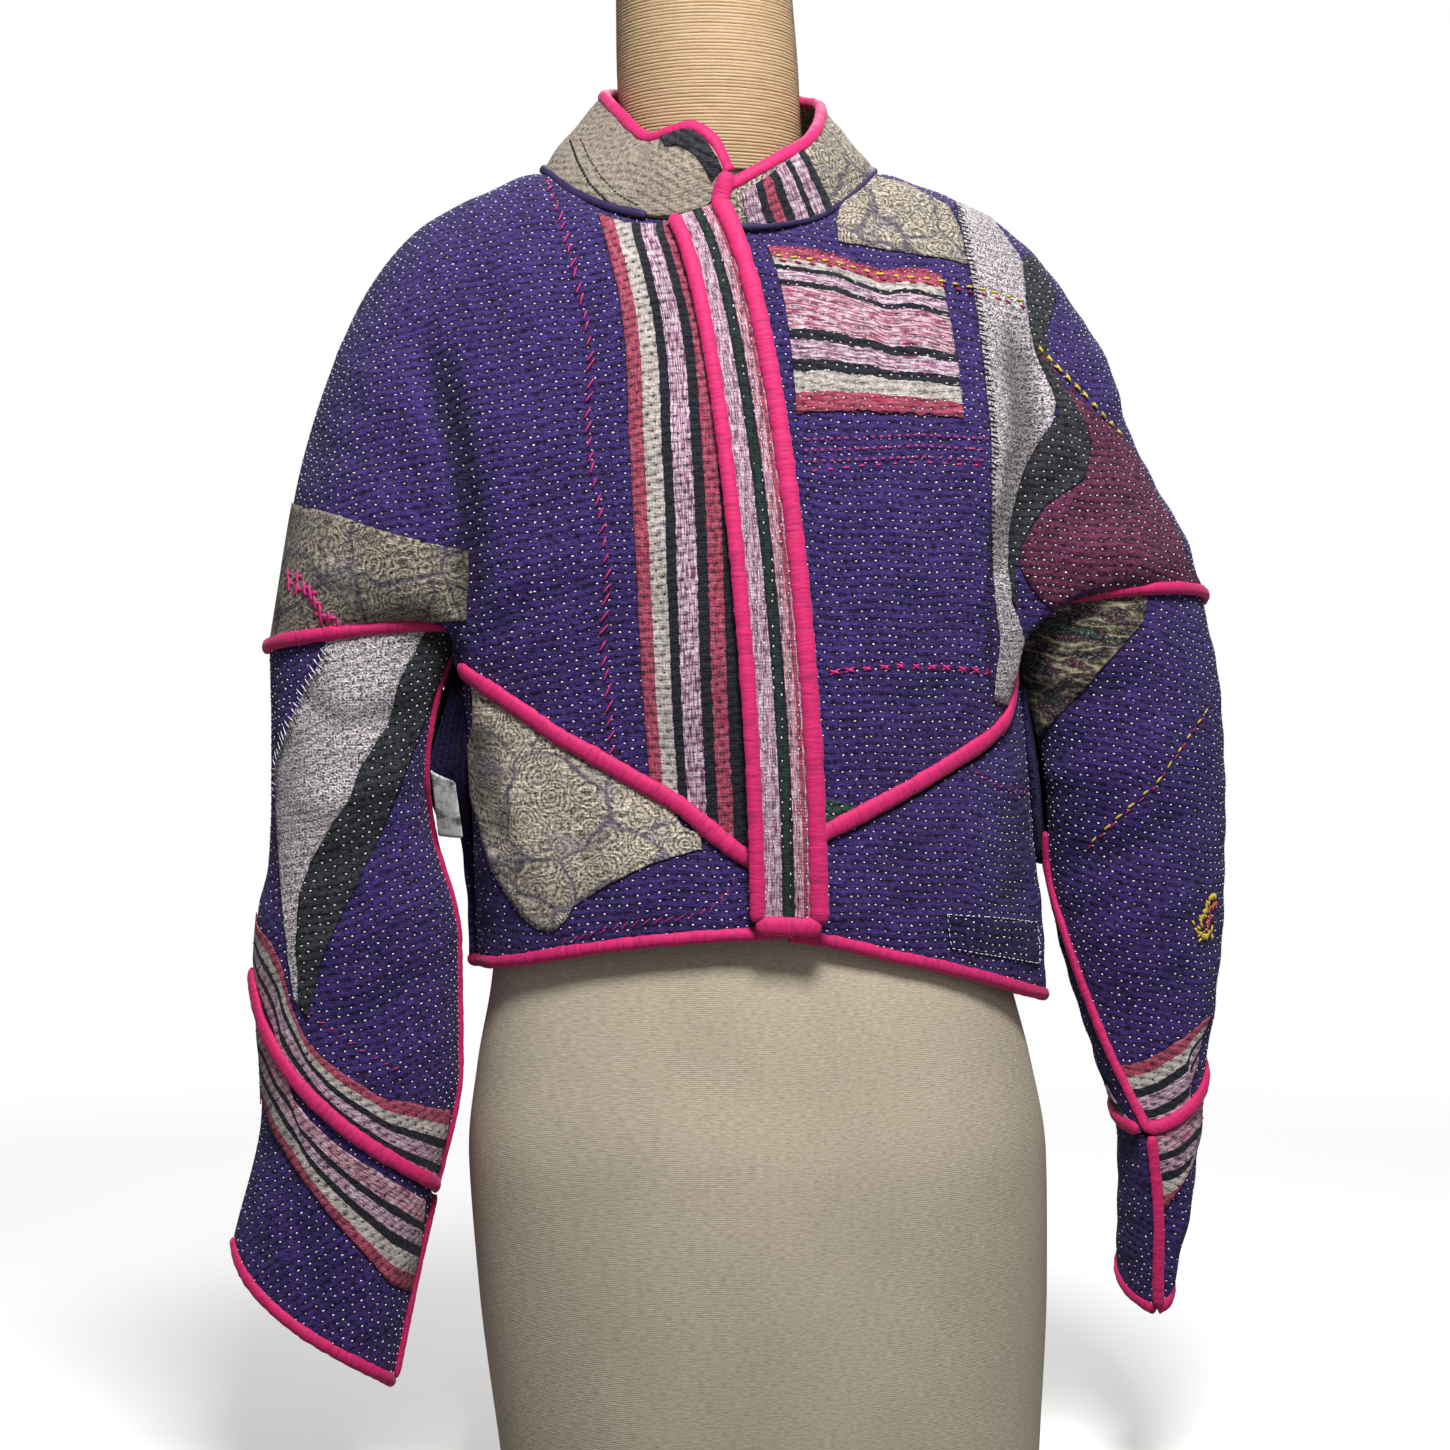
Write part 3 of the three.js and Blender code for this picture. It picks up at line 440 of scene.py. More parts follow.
centreBack = backRow(frontLeft[11], (-38, 71, 889))
for name, value in {"endX": -0.030, "endY": 0.104, "endZ": 0.420, "out": -0.026, "endOut": -0.008,
    "lean": 0.4}.items():
    centreBack[column[name]] = value
backUpper = np.array(
    [backRow(row) for row in frontRight[:8]]
    + [backRow(row, neck) for row, neck in zip(frontRight[8:11],
        ((-136, 30, 880), (-111, 53, 886), (-78, 66, 888)))]
    + [centreBack]
    + [backRow(row, neck) for row, neck in zip(frontLeft[9:12],
        ((73, 2, 874), (41, 48, 885), (3, 66, 888)))][::-1]
    + [backRow(row) for row in frontLeft[:9]][::-1])
lowerRight = table([
    [-208, -50, 549, 0.40, 2, 50, -194, -4, 360, -2, 10, 60],
    [-197, -67, 532, 0.30, 4, 50, -190, -36, 361, 0, 8, 50],
    [-184, -78, 522, 0.30, 4, 46, -176, -62, 364, 0, 6, 46],
    [-150, -96, 497, 0.30, 4, 38, -148, -91, 371, 0, 4, 38],
    [-108, -110, 472, 0.30, 4, 30, -108, -113, 378, 0, 4, 30],
    [-80, -117, 455, 0.30, 3, 24, -80, -122, 381, 0, 3, 24],
    [-42, -126, 424, 0.30, 2, 14, -40, -129, 384, 0, 2, 14],
    [4, -129, 402, 0.30, 1, 6, 4, -131, 385, 0, 1, 6],
])
lowerLeft = table([
    [150, -46, 570, 0.20, 6, 50, 181, -4, 332, -4, 10, 70],
    [143, -62, 530, 0.25, 8, 60, 177, -30, 334, -3, 10, 60],
    [127, -80, 501, 0.30, 6, 50, 160, -55, 339, -2, 8, 50],
    [104, -95, 487, 0.30, 6, 44, 128, -83, 349, -2, 6, 44],
    [68, -109, 467, 0.30, 5, 36, 84, -105, 361, -1, 6, 36],
    [44, -115, 455, 0.30, 4, 30, 50, -116, 369, 0, 4, 30],
    [4, -120, 435, 0.30, 3, 20, 10, -123, 379, 0, 3, 20],
    [-38, -119, 410, 0.30, 1, 8, -40, -121, 385, 0, 1, 8],
])


backHem = {"x": -0.194, "across": 0.375, "y": 0.004, "deep": 0.106, "z": 0.359, "fall": 0.027, "out": 0.005}


def lowerBackRows():
    rows = []
    first, last = backUpper[0][column["endX"]], backUpper[-1][column["endX"]]
    for seam in backUpper:
        topX, topY, topZ = seam[[column[n] for n in ("endX", "endY", "endZ")]]
        share = (topX - first) / (last - first)
        x = backHem["x"] + share * backHem["across"]
        y = backHem["y"] + backHem["deep"] * math.sqrt(max(0.0, 1 - (1 - 2 * share) ** 2))
        z = backHem["z"] - share * backHem["fall"]
        fall = (topZ - z) / 3
        rows.append([topX, topY, topZ, 0.3, -0.004, fall, x, y, z, 0, -backHem["out"], fall])
    return np.array(rows)


sleeveRight = table([
    [-326, 0, 556, 0.00, 66, -7, -210, -36, 572, -4, 42, 6],
    [-325, 0, 508, 0.00, 72, -2, -226, -31, 527, -2, 50, 4],
    [-325, 0, 462, 0.00, 74, 2, -232, -20, 482, 0, 56, 6],
    [-327, 0, 420, 0.00, 74, 4, -226, -3, 438, 4, 68, 6],
    [-333, 0, 394, 0.00, 72, 12, -210, -3, 372, 6, 68, 6],
    [-335, 0, 372, 0.00, 68, 44, -209, -3, 290, 4, 64, 10],
    [-336, 0, 353, 0.00, 62, 88, -225, -4, 209, 0, 60, 14],
])
cuffRight = table([
    [-336, 0, 352, 0.00, 62, 88, -225, -4, 208, 0, 60, 14],
    [-331, 0, 268, 0.00, 58, 50, -236, -3, 160, -2, 54, 10],
    [-349, 0, 182, 0.02, 50, 40, -250, -2, 90, -6, 48, 14],
])
sleeveLeft = table([
    [292, 0, 589, 0.00, 79, -15, 148, -41, 581, 6, 53, 17],
    [303, 0, 535, 0.00, 86, 0, 168, -32, 528, 2, 58, 4],
    [307, 0, 475, 0.00, 84, 0, 182, -22, 470, 0, 62, 0],
    [307, 0, 418, 0.00, 80, 0, 189, -5, 412, 2, 72, 0],
    [305, 0, 370, 0.00, 72, 2, 199, -16, 366, 14, 52, 2],
    [300, 0, 326, 0.00, 60, 4, 217, -28, 308, 26, 34, 4],
    [290, 0, 285, 0.00, 46, 10, 243, -48, 241, 26, 6, 2],
])
cuffLeft = table([
    [290, 0, 284, 0.00, 46, 10, 243, -48, 240, 26, 6, 2],
    [282, 0, 205, 0.00, 42, 8, 249, -44, 194, 22, 4, 0],
    [267, 0, 150, 0.00, 34, 6, 254, -32, 124, 12, 4, 4],
])
sleeveLeftBack = table([
    [292, 0, 589, 0.00, -68, -15, 148, 35, 581, 6, -45, 17],
    [303, 0, 535, 0.00, -76, 0, 168, 30, 528, 2, -52, 4],
    [307, 0, 475, 0.00, -74, 0, 182, 20, 470, 0, -56, 0],
    [307, 0, 418, 0.00, -72, 0, 189, -2, 412, -2, -66, 0],
    [305, 0, 370, 0.00, -66, 0, 198, -14, 366, -12, -56, 0],
    [300, 0, 326, 0.00, -64, 0, 215, -27, 308, -16, -58, 0],
    [290, 0, 285, 0.00, -64, -4, 240, -49, 241, -30, -60, 8],
])
cuffLeftBack = table([
    [290, 0, 284, 0.00, -64, -4, 240, -49, 240, -30, -60, 8],
    [282, 0, 205, 0.00, -62, -6, 247, -45, 194, -34, -60, 4],
    [267, 0, 150, 0.00, -56, -26, 252, -33, 124, -32, -52, 14],
])


def behind(rows):
    made = rows.copy()
    for name in ("out", "endOut"):
        made[:, column[name]] *= -backFlatter
    made[:, column["endY"]] = np.maximum(-made[:, column["endY"]] * backFlatter, 0.003)
    return made


gussetRight = np.array([
    [-213, -36, 534, -206, -45, 527], [-220, -28, 512, -203, -43, 504], [-227, -19, 482, -201, -30, 474],
    [-220, -8, 450, -199, -12, 448], [-217, 1, 440, -199, 4, 440], [-220, 9, 450, -200, 14, 448],
    [-229, 16, 482, -203, 22, 474], [-220, 24, 512, -206, 28, 504], [-214, 28, 534, -208, 29, 527],
]) * mm
gussetLeft = np.array([
    [164, -36, 542, 157, -48, 534], [170, -28, 514, 160, -46, 506], [178, -20, 470, 167, -38, 466],
    [184, -8, 428, 174, -16, 426], [185, 1, 418, 176, 2, 418], [183, 9, 428, 174, 14, 426],
    [177, 16, 470, 167, 22, 466], [169, 24, 514, 160, 28, 506], [163, 28, 542, 157, 30, 534],
]) * mm


gussetFold = {"lean": 0.33, "inwards": 0.005, "rise": 0.004}


def gussetRows(rows):
    made = []
    for i, (sleeveX, sleeveY, sleeveZ, bodyX, bodyY, bodyZ) in enumerate(rows):
        fold = i == (len(rows) - 1) // 2
        inwards = 0 if fold else gussetFold["inwards"] * math.copysign(1, sleeveY)
        made.append([sleeveX, sleeveY, sleeveZ, gussetFold["lean"], inwards, 0, bodyX, bodyY, bodyZ,
                     (sleeveX - bodyX) / 3, inwards, gussetFold["rise"] if fold else 0])
    return np.array(made)


collarRight = table([
    [-46, -93, 854, 0.5, 1, 4, -49, -92, 842, 0, 0, 4],
    [-55, -91, 873, 0.5, 3, 10, -64, -88, 833, 0, 0, 8],
    [-70, -82, 884, 0.5, 3, 14, -86, -82, 828.6, 0, 0, 12],
    [-90, -62, 880, 0.4, 3, 14, -108, -68, 833.4, 0, 0, 12],
    [-105, -24, 902, 0.4, 2, 16, -138, -35, 851.4, 5, 0, 14],
    [-111, 12, 921, 0.4, 0, 18, -150, 0, 870, 8, 0, 14],
    [-98, 44, 930, 0.4, 0, 18, -137, 34, 877, 6, 0, 14],
    [-72, 62, 934, 0.4, 0, 18, -100, 64, 884, 3, 0, 14],
    [-40, 68, 935, 0.4, 0, 18, -40, 77, 885, 0, 0, 14],
])
collarLeft = table([
    [-56, -79, 840, 0.5, 2, 6, -64, -80, 825, 0, 0, 4],
    [-38, -80, 850, 0.5, 2, 8, -32, -80, 824, 0, 0, 6],
    [-12, -73, 866, 0.4, 3, 12, 9, -71, 831, 0, 0, 10],
    [14, -54, 884, 0.4, 2, 14, 45, -43, 853, -5, 0, 12],
    [28, -24, 903, 0.4, 0, 16, 64, -14, 872, -9, 0, 12],
    [35, 10, 920, 0.4, 0, 18, 70, 10, 879, -12, 0, 14],
    [24, 42, 930, 0.4, 0, 18, 58, 38, 881, -8, 0, 14],
    [-4, 61, 934, 0.4, 0, 18, 24, 64, 884, -3, 0, 14],
    [-39.2, 68, 935, 0.4, 0, 18, -39.2, 77, 885, 0, 0, 14],
])
placketRows = table([
    [-80, -81, 827, 0.45, 40, 36, -36, -131, 388, -2, 8, 150],
    [-51, -87, 838, 0.50, 40, 48, 4, -134, 386, -2, 7, 168],
])


def between(rows, u):
    last = len(rows) - 1
    place = np.clip(u, 0, 1) * last
    i = np.minimum(place.astype(int), last - 1)
    f = (place - i)[:, None]
    rise = np.diff(rows, axis=0)
    slope = np.empty_like(rows)
    slope[0], slope[-1] = rise[0], rise[-1]
    before, after = rise[:-1], rise[1:]
    total = np.where(before + after == 0, 1, before + after)
    slope[1:-1] = np.where(before * after <= 0, 0, 2 * before * after / total)
    b, c, m, n = rows[i], rows[i + 1], slope[i], slope[i + 1]
    return b + f * (m + f * (3 * (c - b) - 2 * m - n + f * (2 * (b - c) + m + n)))


def surfaceAt(rows, u, v):
    at = between(rows, np.ravel(u))
    v = np.ravel(v)[:, None]
    topX, topY, topZ, lean, out, drop, endX, endY, endZ, side, endOut, rise = at.T
    handles = [np.stack(p, -1) for p in (
        (topX, topY, topZ), (topX + lean * (endX - topX), topY - out, topZ - drop),
        (endX + side, endY - endOut, endZ + rise), (endX, endY, endZ))]
    w = 1 - v
    made = w ** 3 * handles[0] + 3 * w * w * v * handles[1] + 3 * w * v * v * handles[2] + v ** 3 * handles[3]
    return made.reshape(np.shape(u) + (3,))


def gridOf(us, vs):
    return np.meshgrid(us, vs, indexing="ij")


def unit(vectors):
    return vectors / np.maximum(np.linalg.norm(vectors, axis=-1, keepdims=True), 1e-12)


def gridNormals(points, outside):
    return unit(np.cross(np.gradient(points, axis=0), np.gradient(points, axis=1))) * outside


def sampleGrid(grid, i, j):
    ni, nj = grid.shape[0] - 1, grid.shape[1] - 1
    i, j = np.clip(i, 0, ni), np.clip(j, 0, nj)
    i0, j0 = np.minimum(i.astype(int), ni - 1), np.minimum(j.astype(int), nj - 1)
    fi, fj = (i - i0)[..., None], (j - j0)[..., None]
    return ((1 - fi) * (1 - fj) * grid[i0, j0] + fi * (1 - fj) * grid[i0 + 1, j0]
            + (1 - fi) * fj * grid[i0, j0 + 1] + fi * fj * grid[i0 + 1, j0 + 1])


# Laying a panel flat: springs between neighbours on a coarse grid first, then on the fine one
flattening = {"coarse": (34, 16), "rounds": 500, "fineRounds": 60, "push": 1.6}


def relax(flat, solid, rounds):
    shape = flat.shape[:2]
    ids = np.arange(shape[0] * shape[1]).reshape(shape)
    neighbours = [(ids[1:], ids[:-1]), (ids[:, 1:], ids[:, :-1]), (ids[1:, 1:], ids[:-1, :-1])]
    neighbours.append((ids[1:, :-1], ids[:-1, 1:]))
    pairs = np.concatenate([np.stack([a.ravel(), b.ravel()], 1) for a, b in neighbours])
    one, other = pairs.T
    points, target = flat.reshape(-1, 2).copy(), solid.reshape(-1, 3)
    rest = np.linalg.norm(target[one] - target[other], axis=1)
    count = np.bincount(pairs.ravel(), minlength=len(points))[:, None]
    for _ in range(rounds):
        d = points[one] - points[other]
        size = np.maximum(np.linalg.norm(d, axis=1), 1e-9)
        move = d * (0.5 * (rest - size) / size)[:, None]
        total = np.stack([np.bincount(one, move[:, k], len(points))
                          - np.bincount(other, move[:, k], len(points)) for k in (0, 1)], 1)
        points += flattening["push"] * total / count
    return points.reshape(flat.shape)


def flatten(points):
    sizes = zip(points.shape, flattening["coarse"])
    coarse = [np.unique(np.linspace(0, n - 1, m).astype(int)) for n, m in sizes]
    small = points[np.ix_(coarse[0], coarse[1])]
    flat = small[:, :, [0, 2]].copy()
    for j in range(small.shape[1] - 2, -1, -1):
        step = small[:, j] - small[:, j + 1]
        way = step[:, [0, 2]]
        long, seen = np.linalg.norm(step, axis=1), np.maximum(np.linalg.norm(way, axis=1), 1e-6)
        flat[:, j] = flat[:, j + 1] + way / seen[:, None] * long[:, None]
    flat = relax(flat, small, flattening["rounds"])
    place = [np.interp(np.arange(n), c, np.arange(len(c))) for n, c in zip(points.shape, coarse)]
    return relax(sampleGrid(flat, *gridOf(*place)), points, flattening["fineRounds"])


def unrolled(points):
    long = np.concatenate([[0], np.cumsum(np.linalg.norm(np.diff(points, axis=0), axis=2).max(1))])
    across = np.cumsum(np.linalg.norm(np.diff(points, axis=1), axis=2), 1)
    wide = np.concatenate([np.zeros((len(points), 1)), across], 1)
    return np.stack(np.broadcast_arrays(long[:, None], wide), -1)


def flatArea(flat):
    d1, d2 = np.diff(flat, axis=0)[:, :-1], np.diff(flat, axis=1)[:-1]
    return float(np.abs(d1[..., 0] * d2[..., 1] - d1[..., 1] * d2[..., 0]).sum())


def runOf(line):
    return np.concatenate([[0], np.cumsum(np.linalg.norm(np.diff(line, axis=0), axis=1))])


def atRun(places, run, line):
    return np.stack([np.interp(places, run, line[:, k]) for k in range(line.shape[1])], 1)


def alongLine(line, count):
    line = np.array(line, float)
    run = runOf(line)
    return atRun(np.linspace(0, run[-1], count), run, line)


# How deep the creases go beside their listed depths, and the whole depth that the painted shade of a fold
# spans
creasing = {"share": 1.45, "foldShadeReach": 0.013, "steps": 40, "taper": 1.6}


def creaseHeight(spots, creases):
    height = np.zeros(spots.shape[:2])
    for path, depth, wide in creases:
        line = alongLine(path, creasing["steps"])
        nearest = np.full(height.shape, 1e9)
        share = np.zeros(height.shape)
        for k, point in enumerate(line):
            away = np.hypot(spots[..., 0] - point[0], spots[..., 1] - point[1])
            closer = away < nearest
            nearest[closer], share[closer] = away[closer], k / (len(line) - 1)
        taper = np.clip(np.sin(math.pi * np.clip(share, 0.02, 0.98)) * creasing["taper"], 0, 1)
        height -= creasing["share"] * depth * mm * taper * np.exp(-(nearest / wide) ** 2)
    return height


def shellObject(name, outer, inner, maps):
    ni, nj = outer.shape[:2]
    total = ni * nj
    ids = np.arange(total).reshape(ni, nj)
    a, b, c, d = ids[:-1, :-1], ids[1:, :-1], ids[1:, 1:], ids[:-1, 1:]
    faces = [np.stack([a, b, c, d], -1).reshape(-1, 4), np.stack([d, c, b, a], -1).reshape(-1, 4) + total]
    for line, flip in ((ids[0], 0), (ids[-1], 1), (ids[:, 0], 1), (ids[:, -1], 0)):
        p, q = line[:-1], line[1:]
        rim = np.stack([p, q, q + total, p + total], -1)
        faces.append(rim[:, ::-1] if flip else rim)
    faces = np.concatenate(faces)
    verts = np.concatenate([outer.reshape(-1, 3), inner.reshape(-1, 3)])
    p, q, r, s = (verts[faces[:, k]] for k in range(4))
    if np.einsum("ij,ij->", p, np.cross(q, r) + np.cross(r, s)) < 0:  # the volume, turned inside out
        faces = faces[:, ::-1]
    uvs = {key: np.concatenate([grid.reshape(-1, 2)] * 2) for key, grid in maps.items()}
    return meshObject(name, verts, faces, uvs)


def meshObject(name, verts, faces, uvs=None):
    mesh = bpy.data.meshes.new(name)
    mesh.from_pydata(verts.tolist(), [], faces.tolist() if isinstance(faces, np.ndarray) else faces)
    for key, values in (uvs or {}).items():
        layer = mesh.uv_layers.new(name=key)
        loops = np.empty(len(mesh.loops), np.int32)
        mesh.loops.foreach_get("vertex_index", loops)
        layer.data.foreach_set("uv", values[loops].astype(np.float32).ravel())
    mesh.polygons.foreach_set("use_smooth", np.ones(len(mesh.polygons), bool))
    mesh.update()
    obj = bpy.data.objects.new(name, mesh)
    bpy.context.scene.collection.objects.link(obj)
    return obj


def facedOut(faces, verts, centre):
    probe = verts[np.array(faces[0])]
    outwards = np.dot(np.cross(probe[1] - probe[0], probe[2] - probe[0]), probe.mean(0) - centre)
    return [face[::-1] for face in faces] if outwards < 0 else faces


def finishPiece(obj, material, nodes=()):
    obj.data.materials.append(material)
    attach(obj, "root")
    if nodes:
        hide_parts(*nodes)
    return obj


def onView(points, view):
    return frontSpot(points) if view == "front" else points[:, :, [0, 2]] / mm


panels = {}
# Slow waves over every panel, which fade out towards its edges, and the uneven rows of its stitches
waving = {"high": 0.0006, "share": 0.6, "fade": 0.012}
rowWaves = [(0.0016, 0.021, 1), (0.0011, 0.0093, 2)]


def layPanel(name, rows, outside, count, turn=0.0, finish="purple", gap=(0.4, 0.4, 0.4), creases=(),
             view="front", wobble=0.0, slot="quilt", strip=False):
    us, vs = (np.linspace(0, 1, n) for n in count)
    probe = surfaceAt(rows, *gridOf(np.linspace(0, 1, 25), np.linspace(0, 1, 25)))
    longU, longV = (np.linalg.norm(np.diff(line, axis=0), axis=1).sum() for line in (probe[:, 12], probe[12]))
    inU, inTop, inEnd = gap[0] * mm / longU, gap[1] * mm / longV, gap[2] * mm / longV
    middle = surfaceAt(rows, *gridOf(inU + (1 - 2 * inU) * us, inTop + (1 - inTop - inEnd) * vs))
    normal = gridNormals(middle, outside)
    edge = np.minimum((np.minimum(us, 1 - us) * longU)[:, None], np.minimum(vs, 1 - vs)[None] * longV)
    x, z = middle[..., 0], middle[..., 2]
    ripple = waving["high"] * (np.sin(x * 160 + 7 * z * 11) + np.sin(z * 210 - x * 90 + wobble))
    swell = creaseHeight(onView(middle, view), creases)
    swell = (swell + ripple * waving["share"]) * np.clip(edge / waving["fade"], 0, 1)
    outer = middle + normal * (quilting["thick"] / 2 + swell)[..., None]
    inner = middle + normal * (swell - quilting["thick"] / 2)[..., None]
    flat = unrolled(middle) if strip else flatten(middle)
    turned = math.radians(turn)
    a = flat[..., 0] * math.cos(turned) + flat[..., 1] * math.sin(turned)
    b = flat[..., 1] * math.cos(turned) - flat[..., 0] * math.sin(turned)
    for high, long, share in rowWaves:
        b = b + high * np.sin(a / long + share * wobble)
    quilt = np.stack([a / quilting["stitch"], b / quilting["row"]], -1)
    # The crease depth, kept as a map for the painted shade in creases and the painted highlight on ridges
    fold = np.stack([np.clip(0.5 - swell / creasing["foldShadeReach"], 0, 1), np.zeros_like(swell)], -1)
    maps = {"flat": flat, "quilt": quilt, "fold": fold}
    obj = finishPiece(shellObject(name + "_cloth", outer, inner, maps), finishes[finish], (name,))
    panels[name] = {**maps, "obj": obj, "outer": outer, "normal": gridNormals(outer, outside), "view": view,
                    "laid": [], "with": [], "size": np.ptp(flat.reshape(-1, 2), axis=0),
                    "area": flatArea(flat)}


# Where the cloth gives: each crease is a path, its depth in millimetres and its half width.
# A minus depth is a ridge, and the paths at the back are in millimetres across and up.
creases = {
    "front_right": [
        ([(418, 318), (436, 360), (455, 430), (468, 510), (470, 600), (462, 650)], 6.0, 17),
        ([(392, 330), (412, 400), (436, 480), (444, 560)], -2.6, 15),
        ([(498, 380), (508, 460), (512, 540), (506, 610)], -2.4, 20),
        ([(480, 640), (530, 600), (590, 580)], 1.6, 13), ([(486, 610), (545, 560), (600, 545)], -1.4, 14),
        ([(300, 440), (350, 452), (410, 470)], 1.5, 14), ([(330, 350), (360, 372), (400, 420)], -1.6, 16),
        ([(470, 250), (500, 330), (520, 400)], 1.4, 18), ([(290, 560), (350, 575), (430, 590)], -1.6, 12),
        ([(560, 700), (600, 640), (616, 560)], 1.3, 16), ([(640, 300), (650, 420), (652, 560)], -0.9, 14),
    ],
    "front_left": [
        ([(1012, 300), (1022, 380), (1026, 440), (1008, 520), (996, 590)], 6.0, 17),
        ([(1060, 420), (1086, 448), (1060, 476), (1030, 506)], 3.2, 12),
        ([(1040, 380), (1062, 410), (1078, 470)], -2.4, 13),
        ([(960, 330), (968, 420), (970, 520)], -2.0, 20), ([(1060, 530), (1110, 500), (1150, 505)], 1.8, 13),
        ([(1040, 560), (1100, 548), (1160, 560)], -1.8, 14), ([(870, 480), (900, 540), (880, 620)], -1.2, 24),
        ([(960, 640), (920, 600), (880, 590)], 1.3, 13), ([(840, 320), (900, 340), (940, 330)], -0.9, 18),
        ([(1080, 330), (1100, 380), (1110, 420)], -1.5, 14), ([(840, 690), (900, 700), (970, 690)], 1.1, 13),
    ],
    "front_right_lower": [
        ([(486, 720), (490, 790), (500, 860)], 2.4, 14), ([(520, 770), (526, 840), (545, 900)], -1.8, 18),
        ([(590, 800), (600, 860), (590, 920)], 1.6, 16), ([(660, 840), (664, 880), (655, 925)], -1.2, 18),
    ],
    "front_left_lower": [
        ([(1010, 780), (1018, 850), (1012, 930)], 2.4, 14), ([(970, 800), (972, 870), (985, 950)], -1.8, 18),
        ([(900, 830), (896, 880), (905, 930)], 1.6, 16), ([(850, 870), (846, 900), (852, 925)], -1.0, 16),
    ],
    "sleeve_right_front": [
        ([(290, 690), (340, 720), (400, 716), (440, 700)], 2.6, 15),
        ([(280, 790), (330, 800), (390, 776), (420, 750)], -2.2, 17),
        ([(300, 870), (350, 850), (400, 820)], 2.4, 14), ([(290, 960), (350, 935), (420, 900)], -2.0, 18),
        ([(330, 1040), (380, 1000), (440, 960)], 2.0, 16),
        ([(350, 1090), (400, 1060), (446, 1030)], -1.4, 14),
    ],
    "sleeve_left_front": [
        ([(1010, 690), (1080, 700), (1160, 670)], 2.6, 15),
        ([(1030, 780), (1110, 770), (1190, 730)], -2.2, 18),
        ([(1050, 860), (1120, 850), (1200, 800)], 2.4, 16),
        ([(1080, 950), (1140, 930), (1205, 880)], -1.8, 18),
        ([(1100, 1020), (1150, 1000), (1200, 960)], 1.8, 14),
    ],
    "cuff_right_front": [
        ([(300, 1200), (310, 1260), (330, 1330)], 1.8, 14),
        ([(270, 1180), (276, 1230), (290, 1290)], -1.6, 14),
        ([(350, 1230), (360, 1290), (370, 1350)], -1.6, 13),
    ],
    "cuff_left_front": [([(1165, 1150), (1166, 1200), (1160, 1250)], 1.4, 8)],
}
rearCreases = {
    "back_upper": [
        ([(-206, 790), (-196, 700), (-200, 610), (-206, 560)], 6.0, 14),
        ([(-176, 760), (-168, 680), (-170, 600)], -2.6, 16),
        ([(170, 790), (158, 700), (152, 620), (150, 575)], 6.0, 14),
        ([(140, 750), (130, 680), (126, 600)], -2.4, 17),
        ([(-130, 640), (-60, 655), (10, 640), (80, 650)], 2.2, 13),
        ([(-110, 600), (-40, 590), (40, 606)], -2.0, 15),
        ([(-250, 700), (-240, 660), (-250, 610)], 2.2, 11),
        ([(-290, 640), (-260, 620), (-226, 622)], -1.8, 12),
        ([(220, 720), (214, 680), (226, 630)], 2.2, 11), ([(270, 640), (240, 622), (200, 624)], -1.8, 12),
        ([(-90, 820), (-60, 780), (-66, 720)], -1.6, 18), ([(20, 830), (0, 770), (10, 710)], 1.6, 18),
    ],
    "back_lower": [
        ([(-150, 470), (-146, 430), (-150, 380)], 2.4, 12), ([(-90, 440), (-86, 410), (-92, 378)], -2.0, 14),
        ([(-20, 410), (-24, 390), (-16, 372)], 1.6, 14), ([(60, 430), (56, 400), (62, 365)], -2.0, 14),
        ([(120, 460), (126, 410), (120, 355)], 2.2, 12),
    ],
    "sleeve_right_back": [
        ([(-310, 540), (-270, 520), (-240, 530)], 2.4, 11),
        ([(-316, 470), (-270, 460), (-236, 480)], -2.2, 13),
        ([(-300, 400), (-260, 410), (-224, 440)], 2.2, 11),
        ([(-300, 340), (-250, 350), (-216, 380)], -1.6, 12),
    ],
    "sleeve_left_back": [
        ([(290, 560), (240, 540), (180, 550)], 2.4, 11), ([(296, 490), (240, 480), (190, 500)], -2.2, 13),
        ([(296, 420), (250, 410), (200, 430)], 2.2, 11), ([(290, 350), (250, 360), (215, 380)], -1.6, 12),
    ],
}

